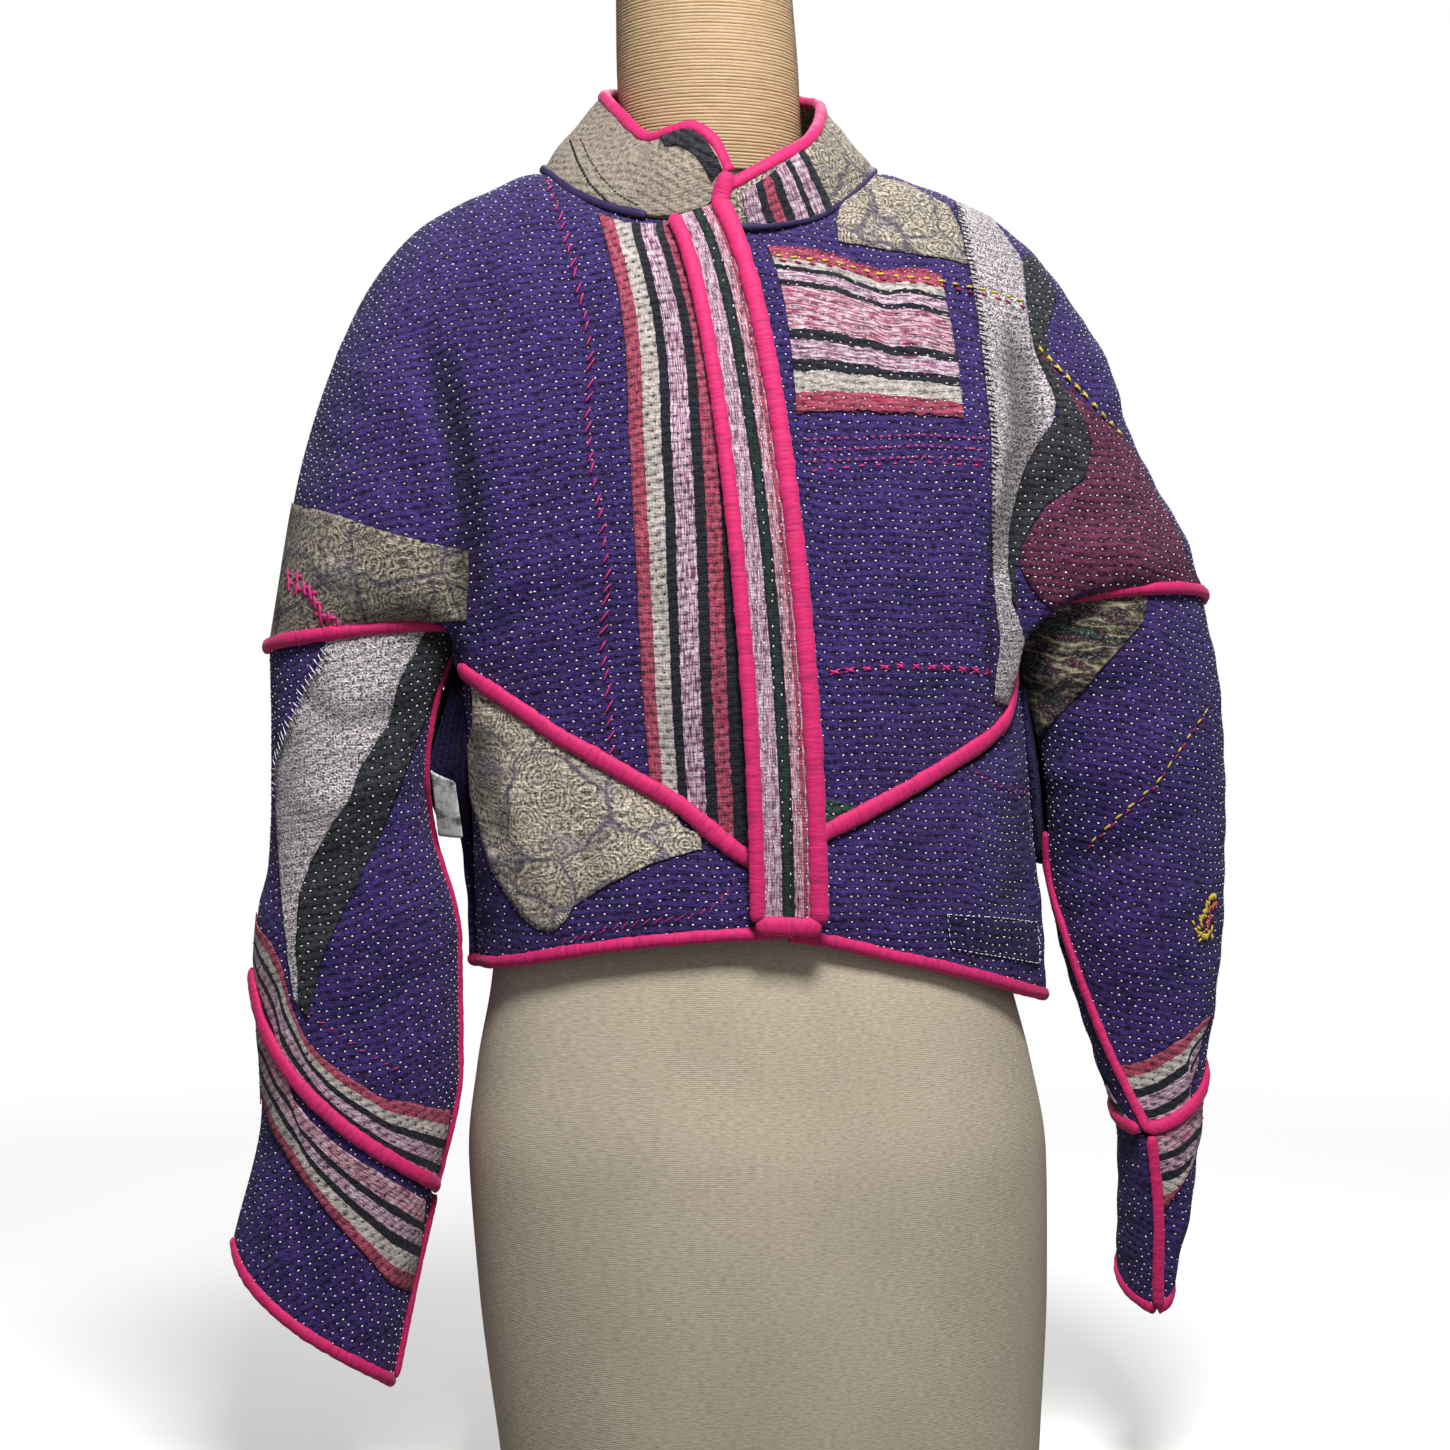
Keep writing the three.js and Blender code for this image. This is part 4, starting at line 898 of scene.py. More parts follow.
panelCuts = {
    "front_right": dict(rows=frontRight, outside=-1, count=(170, 96), turn=10, gap=(1.2, 0.7, 1.0),
        wobble=0.3),
    "front_left": dict(rows=frontLeft, outside=1, count=(190, 96), turn=-2, gap=(1.6, 0.9, 1.0), wobble=1.1),
    "front_right_lower": dict(rows=lowerRight, outside=-1, count=(90, 52), turn=4, gap=(0.4, 1.2, 0.4),
        wobble=2.0),
    "front_left_lower": dict(rows=lowerLeft, outside=1, count=(90, 60), turn=-6, gap=(2.0, 4.0, 0.4),
        wobble=2.6),
    "back_upper": dict(rows=backUpper, outside=1, count=(290, 84), gap=(1.6, 0.4, 1.2), view="rear",
        wobble=3.1),
    "back_lower": dict(rows=lowerBackRows(), outside=1, count=(130, 44), turn=2, gap=(0.4, 3.2, 0.4),
        view="rear", wobble=3.7),
    "sleeve_right_front": dict(rows=sleeveRight, outside=1, count=(90, 64), turn=16, gap=(0.7, 0.4, 0.4),
        wobble=4.2),
    "sleeve_left_front": dict(rows=sleeveLeft, outside=-1, count=(96, 64), turn=-12, gap=(0.7, 0.4, 0.4),
        wobble=4.9),
    "sleeve_right_back": dict(rows=behind(sleeveRight), outside=-1, count=(90, 58), turn=12,
        gap=(0.7, 0.4, 0.4), view="rear", wobble=5.3),
    "sleeve_left_back": dict(rows=sleeveLeftBack, outside=1, count=(96, 58), turn=-10, gap=(0.7, 0.4, 0.4),
        view="rear", wobble=5.9),
    "cuff_right_front": dict(rows=cuffRight, outside=1, count=(56, 60), turn=30, gap=(0.4, 0.8, 0.8),
        wobble=0.7),
    "cuff_left_front": dict(rows=cuffLeft, outside=-1, count=(48, 34), turn=-20, gap=(0.3, 0.4, 0.4),
        wobble=1.4),
    "cuff_right_back": dict(rows=behind(cuffRight), outside=-1, count=(56, 56), turn=25,
        gap=(0.4, 0.8, 0.8), view="rear", wobble=1.9),
    "cuff_left_back": dict(rows=cuffLeftBack, outside=1, count=(48, 46), turn=-20, gap=(0.3, 0.4, 0.4),
        view="rear", wobble=2.3),
    # The gussets take the darker plum finish as painted shade in the recess under the arms
    "gusset_right": dict(rows=gussetRows(gussetRight), outside=-1, count=(60, 12), finish="plum",
        gap=(1.0, 0.4, 1.8), wobble=2.9, strip=True),
    "gusset_left": dict(rows=gussetRows(gussetLeft), outside=1, count=(60, 8), finish="plum",
        gap=(1.0, 0.4, 1.5), wobble=3.3, strip=True),
    "collar_right": dict(rows=collarRight, outside=1, count=(90, 24), turn=-20, finish="collarCloth",
        wobble=3.9, slot="patchwork"),
    "collar_left": dict(rows=collarLeft, outside=-1, count=(80, 22), turn=30, finish="cream", wobble=4.4,
        slot="patchwork"),
}
for name, cut in panelCuts.items():
    layPanel(name, creases={**creases, **rearCreases}.get(name, ()), **cut)
print("panels laid")


# What lies on the panels
def placesOn(panel, line, snap=None):
    found = []
    ni, nj = panel["outer"].shape[:2]
    facing = np.ones((ni, nj), bool)
    if panel["view"] == "front":
        towards = np.array(frontView["place"]) - panel["outer"]
        facing = np.einsum("ijk,ijk->ij", panel["normal"], towards) > -0.1
    screen = onView(panel["outer"], panel["view"])
    for x, y in line:
        away = np.hypot(screen[..., 0] - x, screen[..., 1] - y) + np.where(facing, 0, 1e6)
        spot = np.array([float(k) for k in np.unravel_index(np.argmin(away), away.shape)])
        for _ in range(3):
            i0, j0 = int(np.clip(spot[0], 1, ni - 2)), int(np.clip(spot[1], 1, nj - 2))
            here = sampleGrid(screen, *spot[:, None])[0]
            slopes = np.stack([(screen[i0 + 1, j0] - screen[i0 - 1, j0]) / 2,
                               (screen[i0, j0 + 1] - screen[i0, j0 - 1]) / 2], 1)
            if abs(np.linalg.det(slopes)) < 0.05:
                break
            step = np.clip(np.linalg.solve(slopes, np.array([x, y]) - here), -1.5, 1.5)
            spot = np.clip(spot + step, 0, [ni - 1, nj - 1])
        found.append(spot)
    found = np.array(found)
    for key, reach in (snap or {}).items():
        axis, top = (0, ni - 1) if key[0] == "u" else (1, nj - 1)
        if key[1] == "0":
            found[found[:, axis] < reach * top, axis] = 0
        else:
            found[found[:, axis] > (1 - reach) * top, axis] = top
    return found


patchLook = {"lift": 0.0005, "thick": 0.0007, "steps": 26, "meetSteps": 12, "narrowest": 0.0105}


def layPatch(name, on, sideA, sideB, finish, na=40, nb=24, snap=None, nodes=(), thread="white", rough=0.0007,
             meet=None):
    panel = panels[on]
    steps = patchLook["steps"]
    a, b = (alongLine(placesOn(panel, alongLine(side, steps), snap), na) for side in (sideA, sideB))
    if meet:  # both sides run out at one edge of the panel
        axis, count = "uv".index(meet[0]), patchLook["meetSteps"]
        edge = 0 if meet[1] == "0" else panel["outer"].shape[axis] - 1
        ease = np.linspace(0, 1, count) ** 2
        for side in (a, b):
            side[-count:, axis] = side[-count:, axis] * (1 - ease) + edge * ease
    share = np.linspace(0, 1, nb)[None, :, None]
    spots = a[:, None] * (1 - share) + b[:, None] * share
    jag = rng.normal(0, 1, (na, 2)) * rough / 0.003
    jag = (jag + np.roll(jag, 1, 0)) / 2
    jag[[0, -1]] = 0
    spots[:, 0] += jag * 0.5
    spots[:, -1] += jag[::-1] * 0.5
    i, j = spots[..., 0], spots[..., 1]
    points, normal = sampleGrid(panel["outer"], i, j), unit(sampleGrid(panel["normal"], i, j))
    level, thick = patchLook["lift"], patchLook["thick"]
    band = np.stack(np.broadcast_arrays(runOf(points[:, nb // 2])[:, None], share[..., 0]), -1)
    maps = {"band": band, **{key: sampleGrid(panel[key], i, j) for key in ("flat", "quilt", "fold")}}
    obj = shellObject(name, points + normal * (level + thick), points + normal * level, maps)
    finishPiece(obj, finishes[finish], nodes)
    outline = np.concatenate([spots[:, 0], spots[-1, 1:], spots[::-1, -1], spots[0, ::-1]])
    panel["laid"].append({"outline": outline, "thread": thread, "lift": level + thick})


def inside(outline, spots):
    x, y = spots.T
    result = np.zeros(len(spots), bool)
    for (x0, y0), (x1, y1) in zip(outline, np.roll(outline, -1, 0)):
        if y0 == y1:
            continue
        crossing = (y0 > y) != (y1 > y)
        result ^= crossing & (x < (x1 - x0) * (y - y0) / (y1 - y0) + x0)
    return result


# Thread: every stitch is a small closed lozenge, and all of one colour on a panel are one mesh
def stitchObject(name, centres, ways, normals, colour, long, wide, high, rings=2):
    count = len(centres)
    long, wide, high = (np.broadcast_to(value, count)[:, None] for value in (long, wide, high))
    ways = unit(ways - normals * np.einsum("ij,ij->i", ways, normals)[:, None])
    sides = np.cross(normals, ways)
    sunk = normals * high * 0.2
    parts = [centres - ways * long / 2 - sunk, centres + ways * long / 2 - sunk]
    for step in ((-0.22, 0.22) if rings == 2 else (0,)):
        base = centres + ways * long * step
        parts += [base - sides * wide / 2, base + normals * high * 0.5, base + sides * wide / 2]
    verts = np.stack(parts, 1).reshape(-1, 3)
    last = 3 * rings - 1
    shape = [(0, 2, 3), (0, 3, 4), (0, 4, 2)]
    shape += [(last, 1, last + 1), (last + 1, 1, last + 2), (last + 2, 1, last)]
    if rings == 2:
        shape += [(2, 5, 6), (2, 6, 3), (3, 6, 7), (3, 7, 4), (4, 7, 5), (4, 5, 2)]
    faces = (np.arange(count)[:, None, None] * len(parts) + np.array(shape)[None]).reshape(-1, 3)
    one = verts[:len(parts)][np.array(shape)]
    if np.einsum("ij,ij->", one[:, 0] - verts[0], np.cross(one[:, 1] - verts[0], one[:, 2] - verts[0])) < 0:
        faces = faces[:, ::-1]
    return finishPiece(meshObject(name, verts, faces), threads[colour])


def quiltPanel(name, keep=1.0):
    panel = panels[name]
    quilt, ni, nj = panel["quilt"], *panel["outer"].shape[:2]
    ids = np.arange(ni * nj).reshape(ni, nj)
    quads = np.stack([ids[:-1, :-1], ids[1:, :-1], ids[1:, 1:], ids[:-1, 1:]], -1).reshape(-1, 4)
    lattice = np.concatenate([quilt.reshape(-1, 2), np.zeros((ni * nj, 1))], 1)
    tree = BVHTree.FromPolygons(lattice.tolist(), quads.tolist())
    low, high = quilt.reshape(-1, 2).min(0), quilt.reshape(-1, 2).max(0)
    spots, ways = [], []
    for row in range(math.ceil(low[1]), math.floor(high[1]) + 1):
        shift = 0.5 * row + quilting["drift"] * math.sin(quilting["sway"] * row)
        for k in range(math.ceil(low[0] - shift), math.floor(high[0] - shift) + 1):
            jitter = rng.normal(0, quilting["jitter"], 2)
            if rng.random() > keep:
                continue
            x, y = k + shift + jitter[0], row + jitter[1] * 0.6
            place, _, index, _ = tree.find_nearest((x, y, 0), 0.08)
            if place is None:
                continue
            i, j = divmod(index, nj - 1)
            matrix = np.stack([quilt[i + 1, j] - quilt[i, j], quilt[i, j + 1] - quilt[i, j]], 1)
            if abs(np.linalg.det(matrix)) < 1e-9:
                continue
            f = np.linalg.solve(matrix, np.array([x, y]) - quilt[i, j])
            spots.append((i + f[0], j + f[1]))
            ways.append(np.linalg.solve(matrix, np.array([1.0, 0.0])))
    spots, ways = np.array(spots), np.array(ways)
    points = sampleGrid(panel["outer"], spots[:, 0], spots[:, 1])
    normal = unit(sampleGrid(panel["normal"], spots[:, 0], spots[:, 1]))
    i0, j0 = (np.clip(np.minimum(spots[:, k].astype(int), n - 2), 0, None) for k, n in ((0, ni), (1, nj)))
    here, nextU, nextV = (panel["outer"][i0 + u, j0 + v] for u, v in ((0, 0), (1, 0), (0, 1)))
    run = ways[:, :1] * (nextU - here) + ways[:, 1:] * (nextV - here)
    colour = np.full(len(points), "white", dtype=object)
    lift = np.full(len(points), 0.0)
    for laid in panel["laid"]:
        on = inside(laid["outline"], spots)
        colour[on] = laid["thread"] or "none"
        lift[on] = laid["lift"]
    for shade in ("white", "dark"):
        some = colour == shade
        if some.sum() > 3:
            size = rng.normal(1, 0.13, some.sum()).clip(0.6, 1.4)
            raised = (points + normal * (lift + 0.0001)[:, None])[some]
            long, wide = (quilting[key] * size * quilting["loose"] for key in ("long", "wide"))
            obj = stitchObject(f"{name}_{shade}_stitches", raised, run[some], normal[some], shade, long=long,
                               wide=wide, high=quilting["high"] * size, rings=1)
            panel["with"].append(obj)


def sewLine(name, on, line, colour, pitch, long, wide=0.0009, slant=0.0, cross=False, lift=0.0014, wander=0.0,
            high=0.0009):
    panel = panels[on]
    spots = alongLine(placesOn(panel, alongLine(line, 30)), 200)
    path = sampleGrid(panel["outer"], spots[:, 0], spots[:, 1])
    run = runOf(path)
    at = np.arange(pitch / 2, run[-1], pitch)
    at = at + rng.normal(0, pitch * 0.08, len(at))
    place = atRun(at, run, spots)
    centre = sampleGrid(panel["outer"], place[:, 0], place[:, 1])
    ahead = unit(atRun(at + 0.002, run, path) - atRun(at - 0.002, run, path))
    normal = unit(sampleGrid(panel["normal"], place[:, 0], place[:, 1]))
    side = np.cross(normal, ahead)
    centre = centre + side * rng.normal(0, 1, (len(at), 1)) * wander
    ways, centres, normals = [], [], []
    for sign in ((1, -1) if cross else (1,)):
        angle = np.radians(slant * sign + rng.normal(0, 5, len(at)))[:, None]
        ways.append(ahead * np.cos(angle) + side * np.sin(angle))
        centres.append(centre + normal * (lift + (0.0004 if sign < 0 else 0)))
        normals.append(normal)
    long = long * rng.normal(1, 0.12, len(at) * len(ways)).clip(0.6, 1.4)
    centres, ways, normals = (np.concatenate(part) for part in (centres, ways, normals))
    panel["with"].append(stitchObject(name, centres, ways, normals, colour, long=long, wide=wide, high=high))


# Patches on the front, each between two lines seen in the front view
patches = {
    "patch_stripes": dict(on="front_right", finish="rightStripes", thread="dark", na=90, nb=26,
        snap={"v0": 0.03, "v1": 0.04},
        sideA=[(598, 214), (612, 262), (622, 310), (627, 360), (629, 434), (634, 520), (638, 600),
            (642, 680), (648, 760), (654, 812)],
        sideB=[(676, 202), (700, 258), (715, 306), (722, 340), (728, 381), (733, 434), (738, 495),
            (741, 553), (746, 716), (750, 800), (753, 868)]),
    "patch_sleeve_cream": dict(on="front_right", finish="dullCream", thread=None, na=50, nb=30,
        nodes=("patch_sleeve",), snap={"v0": 0.10, "u0": 0.04, "v1": 0.06},
        sideA=[(294, 504), (340, 516), (380, 530), (426, 543), (452, 548), (469, 551)],
        sideB=[(270, 655), (298, 643), (356, 632), (413, 622), (445, 621), (466, 621)]),
    "patch_chest_stripes": dict(on="front_left", finish="chestStripes", thread="white", na=60, nb=40,
        nodes=("patch_chest",), rough=0.0012,
        sideA=[(766, 246), (800, 248), (827, 253), (853, 262), (879, 271), (909, 268), (940, 275)],
        sideB=[(796, 414), (837, 411), (875, 411), (920, 414), (963, 418)]),
    "patch_tweed_left": dict(on="front_left", finish="tweed", thread=None, na=90, nb=18, snap={"v0": 0.05},
        sideA=[(955, 203), (962, 235), (968, 262), (978, 320), (985, 380), (991, 440), (991, 520),
            (993, 590), (1000, 640), (993, 700)],
        sideB=[(984, 212), (1004, 236), (1022, 262), (1026, 314), (1034, 352), (1050, 387), (1059, 415),
            (1040, 440), (1024, 470), (1012, 510), (1007, 550), (1010, 600), (1024, 640), (1008, 704)]),
    "patch_charcoal_left": dict(on="front_left", finish="charcoal", thread="white", na=80, nb=16,
        snap={"v0": 0.06, "u0": 0.03},
        sideA=[(1022, 258), (1027, 314), (1035, 352), (1051, 387), (1060, 415), (1041, 441), (1025, 471),
            (1013, 511), (1008, 551), (1011, 600)],
        sideB=[(1034, 258), (1056, 298), (1046, 330), (1050, 365), (1066, 391), (1086, 425), (1091, 445),
            (1084, 480), (1045, 505), (1022, 541), (1014, 580), (1016, 608)]),
    "patch_wine": dict(on="front_left", finish="wine", thread="white", na=60, nb=36,
        snap={"v0": 0.14, "u0": 0.04}, meet="u0",
        sideA=[(1064, 392), (1086, 425), (1092, 445), (1085, 481), (1046, 506), (1023, 542), (1015, 580),
            (1018, 606)],
        sideB=[(1070, 392), (1092, 412), (1126, 440), (1153, 490), (1181, 540), (1197, 604)]),
    "patch_shoulder_cream": dict(on="front_left", finish="cream", thread=None, na=40, nb=22,
        nodes=("patch_shoulder",), snap={"v0": 0.06},
        sideA=[(836, 222), (846, 190), (868, 176), (905, 184), (948, 207)],
        sideB=[(838, 242), (872, 248), (910, 254), (942, 259), (968, 265)]),
    "patch_green": dict(on="front_left", finish="green", thread="white", na=20, nb=14, snap={"v1": 0.03},
        sideA=[(808, 797), (840, 801), (870, 811)], sideB=[(810, 845), (820, 842), (832, 834)]),
    "patch_hem_cream": dict(on="front_right_lower", finish="paleCream", thread=None, na=64, nb=30,
        nodes=("patch_hem",), snap={"v0": 0.08, "u0": 0.05},
        sideA=[(470, 686), (509, 716), (569, 757), (624, 790), (670, 818), (700, 838)],
        sideB=[(474, 700), (476, 800), (484, 850), (500, 884), (530, 925), (545, 934), (560, 930),
            (575, 905), (610, 884), (650, 864), (702, 850)]),
    "patch_mended": dict(on="front_left_lower", finish="plum", thread="white", na=30, nb=18,
        sideA=[(946, 914), (990, 917), (1036, 922)], sideB=[(950, 948), (990, 955), (1038, 963)]),
    "patch_tweed_right": dict(on="sleeve_right_front", finish="tweed", thread=None, na=80, nb=24,
        snap={"u0": 0.04},
        sideA=[(328, 648), (306, 687), (283, 742), (276, 762), (277, 813), (283, 905), (289, 958),
            (295, 1002)],
        sideB=[(424, 636), (398, 681), (389, 722), (361, 767), (347, 803), (332, 824), (310, 864),
            (300, 893), (296, 940), (299, 1004)]),
    "patch_charcoal_right": dict(on="sleeve_right_front", finish="charcoal", thread="white", na=80, nb=14,
        snap={"u0": 0.04},
        sideA=[(425, 636), (399, 681), (390, 722), (362, 767), (348, 803), (333, 824), (311, 864),
            (301, 893), (297, 940), (300, 1004)],
        sideB=[(456, 636), (436, 687), (416, 742), (393, 803), (371, 854), (353, 891), (322, 958),
            (308, 1022)]),
    "patch_band_right": dict(on="sleeve_right_front", finish="sleeveStripes", thread="dark", na=70, nb=20,
        snap={"v0": 0.12, "u1": 0.03, "v1": 0.08},
        sideA=[(258, 918), (270, 940), (281, 961), (290, 1000), (302, 1033), (320, 1055), (342, 1073),
            (383, 1098), (449, 1110)],
        sideB=[(256, 974), (267, 1010), (281, 1047), (293, 1098), (312, 1122), (342, 1149), (383, 1175),
            (424, 1200), (442, 1208)]),
    "patch_cuff_right": dict(on="cuff_right_front", finish="cuffStripes", thread="dark", na=60, nb=26,
        snap={"v0": 0.10, "u0": 0.03, "v1": 0.08},
        sideA=[(256, 974), (281, 1047), (293, 1098), (312, 1122), (342, 1149), (383, 1175), (424, 1200)],
        sideB=[(258, 1090), (276, 1136), (298, 1172), (330, 1215), (360, 1250), (392, 1286), (408, 1290)]),
    "patch_ikat": dict(on="sleeve_left_front", finish="ikat", thread=None, na=50, nb=26, snap={"u0": 0.04},
        sideA=[(994, 616), (1020, 606), (1052, 600), (1093, 596), (1148, 604)],
        sideB=[(997, 630), (1004, 680), (1012, 720), (1021, 756), (1060, 715), (1105, 665), (1152, 612)]),
    "patch_band_left": dict(on="sleeve_left_front", finish="sleeveStripes", thread="dark", na=40, nb=20,
        snap={"v0": 0.14, "u1": 0.04, "v1": 0.1},
        sideA=[(1112, 1070), (1150, 1058), (1180, 1040), (1209, 1016)],
        sideB=[(1140, 1130), (1151, 1136), (1170, 1116), (1187, 1090), (1197, 1064)]),
    "patch_cuff_left": dict(on="cuff_left_front", finish="cuffStripes", thread="dark", na=30, nb=16,
        snap={"v0": 0.14, "u0": 0.05, "v1": 0.1},
        sideA=[(1152, 1138), (1170, 1118), (1187, 1092), (1197, 1066)],
        sideB=[(1157, 1215), (1168, 1205), (1178, 1190), (1184, 1175)]),
    "patch_collar_left": dict(on="collar_left", finish="collarStripes", thread=None, na=36, nb=22,
        snap={"v0": 0.1, "v1": 0.1},
        sideA=[(804, 150), (824, 190), (844, 236)],
        sideB=[(741, 192), (745, 214), (756, 240)]),
    "patch_collar_corner": dict(on="collar_right", finish="charcoal", thread=None, na=26, nb=10,
        nodes=("collar_corner",),
        sideA=[(660, 136), (674, 129), (692, 130), (706, 141), (717, 158), (722, 170)],
        sideB=[(666, 146), (678, 145), (690, 150), (700, 160), (708, 173), (712, 182)]),
}
# Patches on the back, in millimetres across and up
rearPatches = {
    "patch_rear_stripes": dict(on="back_upper", finish="rightStripes", thread="dark", na=80, nb=28,
        sideA=[(-70, 858), (-72, 760), (-70, 640), (-66, 520), (-64, 462)],
        sideB=[(14, 856), (12, 760), (10, 640), (8, 540), (6, 452)]),
    "patch_rear_cream": dict(on="back_upper", finish="cream", thread=None, na=40, nb=24,
        sideA=[(-196, 800), (-150, 806), (-96, 800)], sideB=[(-190, 716), (-146, 706), (-98, 712)]),
    "patch_rear_tweed": dict(on="back_upper", finish="tweed", thread=None, na=60, nb=18,
        sideA=[(60, 850), (62, 760), (68, 680), (74, 600)],
        sideB=[(112, 846), (110, 760), (106, 690), (96, 604)]),
    "patch_rear_wine": dict(on="back_upper", finish="wine", thread="white", na=50, nb=30,
        snap={"u1": 0.03, "v0": 0.05},
        sideA=[(196, 744), (178, 690), (164, 640), (160, 592)],
        sideB=[(226, 744), (238, 712), (262, 668), (288, 596)]),
    "patch_rear_sleeve": dict(on="back_upper", finish="charcoal", thread="white", na=40, nb=24,
        snap={"u0": 0.03},
        sideA=[(-312, 640), (-280, 650), (-240, 640), (-216, 628)],
        sideB=[(-326, 556), (-290, 548), (-250, 554), (-214, 566)]),
    "patch_rear_hem": dict(on="back_lower", finish="green", thread="white", na=36, nb=20,
        sideA=[(60, 424), (96, 436), (130, 452)], sideB=[(58, 384), (92, 380), (134, 374)]),
    "patch_rear_band_right": dict(on="sleeve_right_back", finish="sleeveStripes", thread="dark", na=50,
        nb=20, snap={"u1": 0.03, "v0": 0.1, "v1": 0.1},
        sideA=[(-334, 388), (-300, 330), (-260, 290), (-212, 262)],
        sideB=[(-336, 352), (-304, 286), (-264, 240), (-222, 212)]),
    "patch_rear_tweed_right": dict(on="sleeve_right_back", finish="tweed", thread=None, na=50, nb=18,
        snap={"u0": 0.04},
        sideA=[(-310, 552), (-316, 500), (-318, 440), (-316, 400)],
        sideB=[(-262, 556), (-276, 500), (-290, 440), (-304, 402)]),
    "patch_rear_ikat": dict(on="sleeve_left_back", finish="ikat", thread=None, na=40, nb=22,
        snap={"u0": 0.04},
        sideA=[(166, 572), (200, 582), (240, 588), (276, 588)],
        sideB=[(176, 540), (196, 500), (236, 500), (280, 560)]),
    "patch_rear_band_left": dict(on="sleeve_left_back", finish="sleeveStripes", thread="dark", na=40,
        nb=20, snap={"u1": 0.04, "v0": 0.1, "v1": 0.1},
        sideA=[(222, 296), (250, 304), (276, 316), (300, 326)],
        sideB=[(242, 242), (258, 252), (276, 268), (290, 286)]),
}
for name, spec in {**patches, **rearPatches}.items():
    layPatch(name, **spec)
print("patches laid")

for name in panels:
    if not name.startswith("collar"):
        quiltPanel(name, keep=0.93)
print("quilting sewn")

